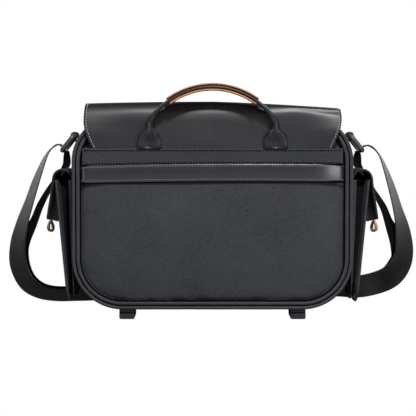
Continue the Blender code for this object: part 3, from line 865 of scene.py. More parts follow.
@dataclass(frozen=True)
class BodyForm:
    """The body's rounded box, read from the frame.

    Attributes:
        half: half its width.
        low: height of its base.
        high: height of its top.
        rear: Y of its rear plane.
        front: Y of its front plane.
        base_radius: its lower corners.
        top_radius: its upper corners.
        spacing: distance between two points of its outline.
    """

    half: float
    low: float
    high: float
    rear: float
    front: float
    base_radius: float = 0.060
    top_radius: float = 0.054
    spacing: float = 0.004

    @classmethod
    def from_frame(cls) -> "BodyForm":
        """Read the body's size from the two rolls round it."""
        low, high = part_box("back_roll")
        return cls(high.x, low.z, high.z, low.y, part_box("front_roll")[1].y)

    def at(self, x: float, y: float, z: float) -> Vector:
        """A place in the part's frame, from its depth behind the rear plane."""
        return Vector((x, self.rear + y, z))

    def side_path(self, inset: float, stop: float = 90.0) -> Path2:
        """The right half of the outline, from under the base corner up round the top corner.

        Args:
            inset: how far inside the outline.
            stop: how far round the top corner, in degrees.

        Returns:
            X and Z of its points.
        """
        base, top = self.base_radius - inset, self.top_radius - inset
        start, end = self.low + self.base_radius, self.high - self.top_radius
        steps = max(4, round(base * math.pi / 2 / self.spacing))
        path = arc((self.half - self.base_radius, start), base, -90, 90, steps)
        steps = round((end - start) / self.spacing)
        path += [(self.half - inset, start + (end - start) * k / steps) for k in range(1, steps)]
        steps = max(4, round(top * math.radians(stop) / self.spacing))
        return path + arc((self.half - self.top_radius, end), top, 0, stop, steps)

    def outline(self, inset: float) -> Path2:
        """The closed outline with even points.

        Args:
            inset: how far inside the body's edge.

        Returns:
            X and Z of its points.
        """
        right = self.side_path(inset)
        left = [(-x, z) for x, z in reversed(right)]
        runs = []
        for x, z in (right[-1], left[-1]):
            steps = round(2 * abs(x) / self.spacing)
            runs.append([(x - 2 * x * k / steps, z) for k in range(1, steps)])
        return right + runs[0] + left + runs[1]

    def edge_distance(self, x: float, z: float, inset: float) -> float:
        """How far a place lies inside the outline.

        Args:
            x: across the bag.
            z: height.
            inset: inset of the outline.

        Returns:
            The distance, positive inside.
        """
        middle = (self.low + self.high) / 2
        radius = (self.base_radius if z < middle else self.top_radius) - inset
        dx = abs(x) - (self.half - inset - radius)
        dz = abs(z - middle) - ((self.high - self.low) / 2 - inset - radius)
        outside = math.hypot(max(dx, 0.0), max(dz, 0.0))
        return radius - outside - min(max(dx, dz), 0.0)


@dataclass(frozen=True)
class EndPanel:
    """The padded back or front wall.

    Attributes:
        node: the CAD node.
        face: depth of its outer face.
        inner: depth of its inner face.
        inset: how far inside the body's edge it starts.
        bulge: how far the padding swells below the band.
        slope: how far the padding thins towards its edge.
        seam: how far the cloth is drawn in at its seam.
        pucker: depth of the gathers along the seam.
        wrinkle: depth of the broad wrinkles.
        crumple: depth of the small ones.
        rings: rings from edge to middle.
    """

    node: str
    face: float
    inner: float
    inset: float = 0.0104
    bulge: float = 0.0016
    slope: float = 0.0026
    seam: float = 0.0026
    pucker: float = 0.0009
    wrinkle: float = 0.0013
    crumple: float = 0.0005
    rings: int = 44

    def height(self, form: BodyForm, x: float, z: float) -> float:
        """How far the cloth stands out from the flat face.

        Args:
            form: the body.
            x: across the bag.
            z: height.

        Returns:
            The height, mostly negative near the edge.
        """
        d = max(0.0, form.edge_distance(x, z, self.inset))
        share = (z - form.low) / (form.high - form.low)
        swell = self.bulge * ease(d / 0.05) * ease((0.64 - share) / 0.25)
        dip = self.seam * math.exp(-d / 0.0028) + self.slope * max(0.0, 1 - d / 0.040) ** 2
        fine = noise.noise(Vector((x * 62, z * 62, 3.1)))
        low_corner = 1.0 + 1.4 * ease((0.3 - share) / 0.3)
        gather = self.pucker * low_corner * math.exp(-d / 0.013) * fine
        broad = self.wrinkle * noise.noise(Vector((x * 12, z * 15, 8.7))) * ease(d / 0.03)
        small = self.crumple * noise.noise(Vector((x * 30 + z * 14, z * 34, 2.2)))
        small *= ease(d / 0.012) * ease((0.7 - share) / 0.2)
        return swell - dip + gather + broad + small - 0.0005

    def build(self, form: BodyForm) -> bpy.types.Object:
        """Make the wall.

        Args:
            form: the body.

        Returns:
            The finished panel.
        """
        edge = form.outline(self.inset)
        out = 1.0 if self.face < self.inner else -1.0
        middle = (form.low + form.high) / 2
        rings = [[form.at(x, self.inner, z) for x, z in edge]]
        rings.append([form.at(x, self.face + out * 0.0035, z) for x, z in edge])
        for k in range(self.rings):
            share = 1.0 - (k / self.rings) ** 1.25
            ring = []
            for x, z in edge:
                px, pz = x * share, middle + (z - middle) * share
                ring.append(form.at(px, self.face - out * self.height(form, px, pz), pz))
            rings.append(ring)
        return give(loft(f"{self.node}_cloth", rings), TWILL, nodes=[self.node])


@dataclass(frozen=True)
class EdgeRolls:
    """The cord-filled rolls round the back and front walls.

    Attributes:
        roll: radius of the outer roll.
        roll_inset: how far inside the body's edge its middle lies.
        piping: radius of the inner one.
        piping_inset: how far inside the edge its middle lies.
        depth: how far behind the rear plane both lie.
        sunk: depth of the near-black cords in the seams beside the piping, painted shade in those
            grooves.
        seams: name and radius of each such cord, and how far inside the edge it lies.
        uneven: share by which the rolls swell and shrink.
    """

    roll: float = 0.0022
    roll_inset: float = 0.0013
    piping: float = 0.0023
    piping_inset: float = 0.0066
    depth: float = 0.0025
    sunk: float = 0.0020
    seams: tuple[tuple[str, float, float], ...] = (("outer", 0.0010, 0.0039), ("inner", 0.0011, 0.0097))
    uneven: float = 0.05

    def build(self, form: BodyForm) -> None:
        """Make the four rolls and the near-black cords between them, painted shade in the seam grooves.

        Args:
            form: the body.
        """
        kinds = (("roll", self.roll_inset, self.roll), ("piping", self.piping_inset, self.piping))
        for side, plane, way in (("back", 0.0, 1.0), ("front", form.front - form.rear, -1.0)):
            for kind, inset, radius in kinds:
                path = [form.at(x, plane + way * self.depth, z) for x, z in form.outline(inset)]
                radii = [radius * (1 + self.uneven * noise.noise(p * 45)) for p in path]
                item = tube(f"{side}_{kind}_cloth", path, radii.__getitem__, True)
                give(item, ROLL_TWILL, nodes=[f"{side}_{kind}"])
            # Near-black cords sunk between the rolls: painted shade in the seam grooves.
            for label, radius, inset in self.seams:
                path = [form.at(x, plane + way * self.sunk, z) for x, z in form.outline(inset)]
                item = tube(f"{side}_{label}_seam", path, lambda i, radius=radius: radius, True, 6)
                give(item, SEAM_SHADE)


@dataclass(frozen=True)
class SideWalls:
    """The side walls and the base between the two ends.

    Attributes:
        inset: how far inside the outline their face lies.
        thickness: cloth and foam.
        stop: how far the sides run round the top corners, in degrees.
        dent: half the depth of the dents in the sides.
    """

    inset: float = 0.0012
    thickness: float = 0.0055
    stop: float = 55.0
    dent: float = 0.0003

    def build(self, form: BodyForm) -> None:
        """Make both sides and the base.

        Args:
            form: the body.
        """
        low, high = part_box("side_panel_left")
        depths = [low.y + (high.y - low.y) * k / 24 for k in range(25)]
        path = form.side_path(self.inset, self.stop)
        for side in Side:
            rows = []
            for x, z in path:
                dents = [noise.noise(Vector((x * 20, y * 24, z * 20))) for y in depths]
                reach = [x + self.dent * (2 * d - 1) for d in dents]
                rows.append([Vector((side.value * r, y, z)) for y, r in zip(depths, reach)])
            name = f"side_panel_{side.word}"
            item = sheet(f"{name}_cloth", rows, self.thickness, Vector((side.value, 0, 0)))
            give(item, TWILL, nodes=[name])
        low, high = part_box("base_panel")
        across = [low.x + (high.x - low.x) * k / 30 for k in range(31)]
        rows = [[Vector((x, y, low.z + 0.0002)) for x in across] for y in depths]
        item = sheet("base_panel_cloth", rows, self.thickness, Vector((0, 0, -1)))
        give(item, TWILL, nodes=["base_panel"])


@dataclass(frozen=True)
class Insert:
    """The padded lining and its dividers.

    Attributes:
        soft: softening of the pads' edges.
        fixed: CAD nodes of the lining.
        loose: CAD nodes that slide.
    """

    soft: float = 0.0032
    fixed: tuple[str, ...] = tuple(f"insert_{w}" for w in ("back", "front", "left", "right", "base"))
    loose: tuple[str, ...] = ("divider_left", "divider_right")

    def build(self) -> None:
        """Make each pad as its solid with soft edges."""
        for node in self.fixed + self.loose:
            source = frame["nodes"][node].data
            points = [v.co.copy() for v in source.vertices]
            item = new_object(f"{node}_pad", points, [], [list(p.vertices) for p in source.polygons])
            work = bmesh.new()
            work.from_mesh(item.data)
            bmesh.ops.remove_doubles(work, verts=work.verts, dist=1e-5)
            flat = math.radians(2)
            bmesh.ops.dissolve_limit(work, angle_limit=flat, verts=work.verts, edges=work.edges)
            work.to_mesh(item.data)
            work.free()
            soften(item, self.soft, 3, 40)
            bake(item)
            item.data.shade_smooth()
            carrier = Carrier(node) if node in self.loose else BAG
            give(item, LINING, carrier, nodes=[node])


@dataclass(frozen=True)
class Flap:
    """The leather flap: its sewn rear, its top and its front drop.

    Attributes:
        seam_half: half its width at the rear seam.
        half: half its width above.
        bend: radius of both top bends.
        corner: radius of the drop's lower corners.
        leather: its thickness.
        sag_left: how far the top hangs at the left edge.
        sag_right: how far it hangs at the right edge.
        margin: distance of the stitches from the edge.
        swell_left: how far the rear's loose left side stands off the body.
        swell_right: the same at the right.
        loose: distance from the middle where the rear's sides come loose.
        crisp: how much tighter the rear bend is at the right.
        tuck: how much narrower the top is than the rear.
        flare: how much wider the drop is than the top.
        ripple: height of the waviness of the rear.
        columns: grid columns across.
        stitching: its stitches.
    """

    seam_half: float = 0.1435
    half: float = 0.1545
    bend: float = 0.020
    corner: float = 0.045
    leather: float = 0.002
    sag_left: float = 0.0022
    sag_right: float = 0.0080
    margin: float = 0.0030
    swell_left: float = 0.0036
    swell_right: float = 0.0070
    loose: float = 0.092
    crisp: float = 0.45
    tuck: float = 0.0012
    flare: float = 0.001
    ripple: float = 0.0012
    columns: int = 60
    stitching: Stitching = Stitching(0.0032, 0.0021, 0.00048)

    def sag(self, x: float) -> float:
        """How far the soft top hangs.

        Args:
            x: across the bag.

        Returns:
            The drop, in metres.
        """
        if x < 0:
            return self.sag_left * (x / self.half) ** 2
        return self.sag_right * (x / self.half) ** 1.3

    def row(self, y: float, z: float, half: float, lift: float, ripple: float = 0.0) -> list[Vector]:
        """One row of the flap's outer face.

        Args:
            y: its depth.
            z: its height.
            half: half its width.
            lift: share of the sag that it takes.
            ripple: height of a faint waviness.

        Returns:
            Points from left to right.
        """
        points = []
        for k in range(self.columns + 1):
            x = half * (-1 + 2 * k / self.columns)
            wave = ripple * noise.noise(Vector((x * 16, y * 16, z * 22)))
            points.append(Vector((x, y + wave, z - self.sag(x) * lift)))
        return points

    def swell(self, x: float) -> float:
        """How far the loose sides of the flap's rear stand off the body at X."""
        reach = self.swell_left if x < 0 else self.swell_right
        return reach * ease((abs(x) - self.loose) / 0.066)

    def profile(
        self, share: float, x: float, rear: float, seam: float, top: float
    ) -> tuple[float, float]:
        """The flap's rear from its seam up over the bend.

        Args:
            share: from 0 at the seam to 1 at the top.
            x: across the bag.
            rear: its depth at the seam.
            seam: height of the seam.
            top: height of the top.

        Returns:
            Depth and height.
        """
        face, swell = rear + 0.0003, self.swell(x)
        bend = self.bend * (1 - self.crisp * ease((x - 0.03) / 0.08))
        rise = top - bend - seam
        points = [
            Vector((face, seam)),
            Vector((face - 0.60 * swell, seam + 0.23 * rise)),
            Vector((face - 1.00 * swell, seam + 0.48 * rise)),
            Vector((face - 0.78 * swell, seam + 0.73 * rise)),
            Vector((face + 0.0002 - 0.30 * swell, top - bend)),
            Vector((rear + 0.12 * bend + 0.0004, top - 0.53 * bend)),
            Vector((rear + 0.45 * bend, top - 0.16 * bend)),
            Vector((rear + self.bend, top)),
        ]
        place = curve_point(points, share * (len(points) - 1))
        return place.x, place.y

    def edges(self, rows: Rows) -> tuple[list[Vector], list[Vector]]:
        """Stitch lines along both side edges of some rows.

        Args:
            rows: the grid.

        Returns:
            A left and a right line.
        """
        inward = [(row[-1] - row[0]).normalized() * self.margin for row in rows]
        left = [row[0] + way for row, way in zip(rows, inward)]
        return left, [row[-1] - way for row, way in zip(rows, inward)]

    def build(self) -> None:
        """Make the three lengths of the flap and their stitches."""
        low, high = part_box("flap_back")
        drop_low, drop_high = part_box("flap_front")
        self.build_back(low.y, low.z, high.z)
        self.build_top(low.y + self.bend, drop_high.y - self.bend, high.z)
        self.build_front(drop_high.y, drop_low.z, high.z)

    def build_back(self, rear: float, seam: float, top: float) -> None:
        """Make the length that is sewn to the back, up over its bend.

        Args:
            rear: its depth at the seam.
            seam: height of the seam.
            top: height of the top.
        """
        levels = 28
        rows = []
        for level in range(levels + 1):
            share = level / levels
            widened = math.sin(min(1.0, share * 1.7) * math.pi / 2)
            half = self.seam_half + (self.half - self.seam_half) * widened
            half -= self.tuck * ease((share - 0.5) / 0.5)
            row = []
            for column in range(self.columns + 1):
                x = half * (-1 + 2 * column / self.columns)
                y, z = self.profile(share, x, rear, seam, top)
                wave = self.ripple * noise.noise(Vector((x * 16, rear * 16, z * 22)))
                wave *= share * (1 - share) * 4
                row.append(Vector((x, y + wave, z - self.sag(x) * ease(share * 1.6) ** 1.5)))
            rows.append(row)
        item = sheet("flap_back_leather", rows, self.leather, Vector((0, -1, 0.5)))
        give(item, LEATHER, nodes=["flap_back"])
        # The rear's edge stitches take the lighter thread copy: painted glints.
        self.stitching.run("flap_back_stitches", self.edges(rows), finish=GLINT_THREAD)

    def build_top(self, hinge: float, fold: float, top: float) -> None:
        """Make the length over the top.

        Args:
            hinge: depth where it lifts.
            fold: depth where the drop folds.
            top: height of the top.
        """
        steps = 24
        depths = [hinge + (fold - hinge) * k / steps for k in range(steps + 1)]
        rows = [self.row(y, top, self.half - self.tuck, 1.0) for y in depths]
        lift = Bend("bag", "flap_top", (0, hinge, top), (0, hinge + 0.024, top))
        item = sheet("flap_top_leather", rows, self.leather, Vector((0, 0, 1)))
        give(item, LEATHER, lift, nodes=["flap_top"])
        self.stitching.run("flap_top_stitches", self.edges(rows), lift)

    def build_front(self, front: float, edge: float, top: float) -> None:
        """Make the length that drops in front.

        Args:
            front: its depth.
            edge: height of its lower edge.
            top: height of the top.
        """
        fold, reach = front - self.bend, self.half - self.tuck
        start, end = top - self.bend, edge + self.corner
        rows = [self.row(y, z, reach, 1.0) for y, z in arc((fold, start), self.bend, 90, -90, 10)]
        steps = 16
        for k in range(1, steps):
            share = k / steps
            z, ripple = start + (end - start) * share, 0.0006 * math.sin(math.pi * share)
            rows.append(self.row(front, z, reach + self.flare * share, 1.0 - ease(share), ripple))
        turn = arc((reach + self.flare - self.corner, end), self.corner, 0, -86, 12)
        rows += [self.row(front, z, half, 0.0) for half, z in turn]
        drop = Bend("flap_top", "flap_front", (0, fold, top), (0, front, start))
        item = sheet("flap_front_leather", rows, self.leather, Vector((0, 1, 0)))
        give(item, LEATHER, drop, nodes=["flap_front"])
        left, right = self.edges(rows)
        hem = [p + Vector((0, 0, self.margin)) for p in rows[-1][2:-2]]
        self.stitching.run("flap_front_stitches", [left[:-1] + hem + right[-2::-1]], drop)


@dataclass(frozen=True)
class BackTrim:
    """What is sewn across the back: the flap's seam and the luggage band.

    Attributes:
        margin: distance of the band's stitches from its edges.
        thickness: the band's leather.
        belly: how far the band swells.
        drop: how far the band hangs at its ends.
        crown: how far its middle is higher.
        tilt: how far its right end is higher than its middle.
        uneven: height of the waviness of band and yoke.
        proud: how far the yoke stands before the rear plane at the flap's seam.
        thin: the same at the band.
        cover: how far the yoke covers the flap's seam.
        hem: distance of the yoke's upper stitches from its edge.
        yoke: the yoke's cloth.
        groove: radius of the near-black cords along the band's edges, painted shadow under them.
        band_stitching: the band's stitches.
        yoke_stitching: the yoke's stitches, near-black as painted shade in their holes.
    """

    margin: float = 0.0026
    thickness: float = 0.0022
    belly: float = 0.0006
    drop: float = 0.0010
    crown: float = 0.0016
    tilt: float = 0.0008
    uneven: float = 0.0003
    proud: float = 0.0031
    thin: float = 0.0008
    cover: float = 0.0006
    hem: float = 0.0026
    yoke: float = 0.0010
    groove: float = 0.0011
    band_stitching: Stitching = Stitching(0.0034, 0.0022, 0.00045)
    yoke_stitching: Stitching = Stitching(0.0034, 0.0022, 0.0008)

    def build(self, form: BodyForm) -> None:
        """Make the band, its stitches and the flap's seam.

        Args:
            form: the body.
        """
        low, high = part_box("luggage_band")
        tall = high.z - low.z
        columns, levels = 80, 8
        rows = []
        for i in range(levels + 1):
            share = i / levels
            row = []
            for k in range(columns + 1):
                across = -1 + 2 * k / columns
                x = across * high.x
                lift = self.crown * (1 - across ** 2) + self.tilt * across
                z = low.z - self.drop + tall * share + lift
                tuck = 0.0050 * max(0.0, (across - 0.78) / 0.22) ** 2
                tuck += 0.0024 * max(0.0, (-across - 0.92) / 0.08) ** 2
                wave = self.uneven * noise.noise(Vector((x * 30, z * 10, 1.7)))
                y = low.y - self.belly * math.sin(math.pi * share) + tuck + wave
                row.append(Vector((x, y, z)))
            rows.append(row)
        item = sheet("luggage_band_leather", rows, self.thickness, Vector((0, -1, 0)))
        give(item, GLOSSY, nodes=["luggage_band"])
        lines = []
        for inset in (self.margin, tall - self.margin):
            level, part = divmod(inset / tall * levels, 1.0)
            pairs = zip(rows[int(level)], rows[int(level) + 1])
            lines.append([below.lerp(above, part) for below, above in pairs])
        self.band_stitching.run("luggage_band_stitches", lines)
        # Near-black cords along both edges of the band: painted shadow under them.
        for label, edge in (("lower", rows[0]), ("upper", rows[-1])):
            path = [Vector((p.x, form.rear - 0.0002, p.z)) for p in edge]
            give(tube(f"luggage_band_{label}_seam", path, lambda i: self.groove, False, 6), SEAM_SHADE)
        self.build_yoke(rows[-1], form)

    def build_yoke(self, band_top: list[Vector], form: BodyForm) -> None:
        """Make the cloth yoke that covers the flap's seam above the band.

        Args:
            band_top: the band's upper edge.
            form: the body.
        """
        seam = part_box("flap_back")[0].z + self.cover
        flap_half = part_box("handle_tab_right")[1].x + 0.0500
        levels = 12
        rows = []
        for i in range(levels + 1):
            share = i / levels
            row = []
            for p in band_top:
                beside = ease((abs(p.x) - flap_half) / 0.010)
                proud = self.thin + (self.proud - self.thin) * ease(share) * (1 - 0.8 * beside)
                back = 0.0022 * ease((abs(p.x) - 0.1505) / 0.006)
                start = p.z + 0.0003
                z = start + (seam - start) * share
                wave = self.uneven * noise.noise(Vector((p.x * 26, z * 40, 4.4)))
                row.append(Vector((p.x * 0.9985, form.rear - proud + back + wave, z)))
            rows.append(row)
        give(sheet("yoke_cloth", rows, self.yoke, Vector((0, -1, 0))), TWILL)
        lines = []
        for row, drop in ((rows[-1], self.hem), (rows[1], 0.0)):
            lines.append([p + Vector((0, -0.00005, -drop)) for p in row[1:-1]])
        # The yoke's stitches are near-black beads: painted shade in the stitch holes.
        self.yoke_stitching.run("yoke_stitches", lines, finish=SEAM_SHADE)


@dataclass(frozen=True)
class Handle:
    """The carrying handle: sewn tabs, strap and layered grip.

    Attributes:
        tab_x: middle of a tab.
        neck_half: half its width at the neck.
        neck: height of the neck.
        arch: how much the arch drops towards the necks.
        apex: height of the grip's middle line.
        grip_half: half the grip's length.
        grip_width: the grip's width.
        core: thickness of the strap in the grip.
        layer: thickness of a tan layer.
        swell: how far a tab swells at its seam.
        dome: how much further it swells at its neck.
        hollow: depth of the hollow in its broad part.
        crease: depth of the crease beside its middle.
        lobe: height of the fold beside the crease.
        stitching: a tab's stitches.
    """

    tab_x: float = 0.0755
    neck_half: float = 0.0042
    neck: float = 0.237
    arch: float = 1.5
    apex: float = 0.2806
    grip_half: float = 0.053
    grip_width: float = 0.018
    core: float = 0.0043
    layer: float = 0.0020
    swell: float = 0.0022
    dome: float = 0.0056
    hollow: float = 0.0046
    crease: float = 0.0022
    lobe: float = 0.0022
    stitching: Stitching = Stitching(0.0032, 0.0021, 0.00035)

    # A tab's outline: share of its height, reach outward and reach inward.
    OUTLINE = (
        (0.00, 0.0150, 0.0145),
        (0.20, 0.0149, 0.0145),
        (0.36, 0.0144, 0.0143),
        (0.52, 0.0130, 0.0127),
        (0.64, 0.0104, 0.0101),
        (0.72, 0.0072, 0.0069),
        (0.80, 0.0052, 0.0050),
        (0.90, 0.0043, 0.0043),
        (1.00, 0.0041, 0.0042),
    )

    @property
    def grip_share(self) -> float:
        """The middle line's share at the grip's right end."""
        return math.asin(self.grip_half / self.tab_x) / (math.pi / 2)

    def point(self, share: float) -> tuple[float, float]:
        """The handle's middle line.

        Args:
            share: from -1 at the left neck to 1 at the right.

        Returns:
            X and Z.
        """
        turn = share * math.pi / 2
        rise = (self.apex - self.neck) * max(0.0, math.cos(turn)) ** self.arch
        return self.tab_x * math.sin(turn), self.neck + rise

    def frame_at(self, share: float) -> tuple[Vector, Vector]:
        """The middle line's place and its outward way.

        Args:
            share: from -1 to 1.

        Returns:
            Two vectors with Y at 0.
        """
        x, z = self.point(share)
        step = 0.004
        a, b = self.point(max(-1.0, share - step)), self.point(min(1.0, share + step))
        along = Vector((b[0] - a[0], 0, b[1] - a[1])).normalized()
        return Vector((x, 0, z)), Vector((-along.z, 0, along.x))

    def spread(self, share: float, back: float) -> tuple[float, float, float]:
        """How far a section has opened into the flat grip.

        Args:
            share: from -1 to 1.
            back: depth of the tabs' back.

        Returns:
            The share opened, half the section's width and its middle Y.
        """
        opened = ease((1 - abs(share)) / (1 - self.grip_share))
        wide = self.neck_half + (self.grip_width / 2 - 0.0002 - self.neck_half) * opened
        return opened, wide, back - wide - 0.0010 * opened

    def build(self) -> None:
        """Make the tabs, the strap, the grip and their stitches."""
        low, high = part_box("handle_tab_left")
        back = high.y - 0.0004
        swing = Bend("bag", "handle", (0, low.y, low.z), (0, low.y, low.z + 0.017))
        for side in Side:
            self.build_tab(side, low.z, high.z, back, swing)
        rings = []
        steps = 96
        for k in range(steps + 1):
            share = -1 + 2 * k / steps
            middle, out = self.frame_at(share)
            opened, wide, y = self.spread(share, back)
            deep = self.neck_half + (self.core / 2 - self.neck_half) * opened
            ring = section(deep, wide, 3.0, 18)
            rings.append([middle + out * a + Vector((0, y + b, 0)) for a, b in ring])
        give(loft("handle_strap_leather", rings), LEATHER, Carrier("handle"), nodes=["handle_strap"])
        offset = (self.core + self.layer) / 2 + 0.0003
        for node, way, finish in (("grip_top", offset, TAN), ("grip_bottom", -offset, TAN_UNDER)):
            rings = []
            steps = 48
            for k in range(steps + 1):
                t = -1 + 2 * k / steps
                share = self.grip_share * t
                middle, out = self.frame_at(share)
                y = self.spread(share, back)[2]
                shrink = 1 - 0.35 * ease((abs(t) - 0.97) / 0.03)
                ring = section(self.layer / 2 * shrink, self.grip_width / 2, 5.0, 16)
                rings.append([middle + out * (way + a) + Vector((0, y + b, 0)) for a, b in ring])
            give(loft(f"{node}_leather", rings), finish, Carrier("handle"), nodes=[node])

    def reach(self, share: float) -> tuple[float, float]:
        """How far a tab reaches outward and inward.

        Args:
            share: share of its height.

        Returns:
            Both reaches.
        """
        for before, after in zip(self.OUTLINE, self.OUTLINE[1:]):
            if share <= after[0]:
                break
        t = (share - before[0]) / (after[0] - before[0])
        return before[1] + (after[1] - before[1]) * t, before[2] + (after[2] - before[2]) * t

    def relief(self, share: float, across: float, u: float) -> float:
        """How thick a tab is.

        Args:
            share: share of its height.
            across: from -1 at the inner edge to 1 at the outer.
            u: distance outward from its middle.

        Returns:
            The thickness.
        """
        rise = ease((share - 0.05) / 0.80)
        edge = 0.0012 + 0.0016 * ease(share * 6) + 0.0004 * rise
        dome = (self.swell + self.dome * rise) * max(0.0, 1 - across ** 2) ** 0.5
        hollow = self.hollow * hump(across, 0.05, 0.34)
        hollow *= ease(share / 0.10) * ease((0.66 - share) / 0.40)
        crease = self.crease * hump(u, -0.0036, 0.0009)
        crease *= ease((share - 0.38) / 0.15) * ease((0.84 - share) / 0.1)
        lobe = self.lobe * hump(u, -0.0072, 0.0026)
        lobe *= ease((share - 0.3) / 0.2) * ease((0.80 - share) / 0.14)
        return (edge + dome - hollow - crease + lobe) * ease(0.45 + share * 7)

    def build_tab(self, side: Side, low: float, high: float, back: float, swing: Bend) -> None:
        """Make one sewn tab that gathers into the strap.

        Args:
            side: which one.
            low: height of its seam.
            high: height of its neck.
            back: depth of its back.
            swing: its carrier, which bakes it in place.
        """
        levels, columns, seam = 44, 44, 5
        rings = []
        lines: list[list[Vector]] = [[], []]
        for i in range(levels + 1):
            share = i / levels
            outer, inner = self.reach(share)
            z = low + (high + 0.0004 - low) * share
            ring = []
            for k in range(columns + 1):
                across = math.sin(math.pi * (k / columns - 0.5))
                u = (outer - inner) / 2 + across * (outer + inner) / 2
                x = side.value * (self.tab_x + u)
                ring.append(Vector((x, back - self.relief(share, across, u), z)))
                if k in (seam, columns - seam) and 0.05 < share < 0.6:
                    lines[k != seam].append(ring[-1])
            rings.append(ring + [Vector((p.x, back, z)) for p in reversed(ring[1:-1])])
        node = f"handle_tab_{side.word}"
        give(loft(f"{node}_leather", rings), LEATHER, swing, nodes=[node])
        # The tab's stitches take the near-black seam finish: painted shade in the stitch holes.
        self.stitching.run(f"{node}_stitches", lines, swing, SEAM_SHADE)


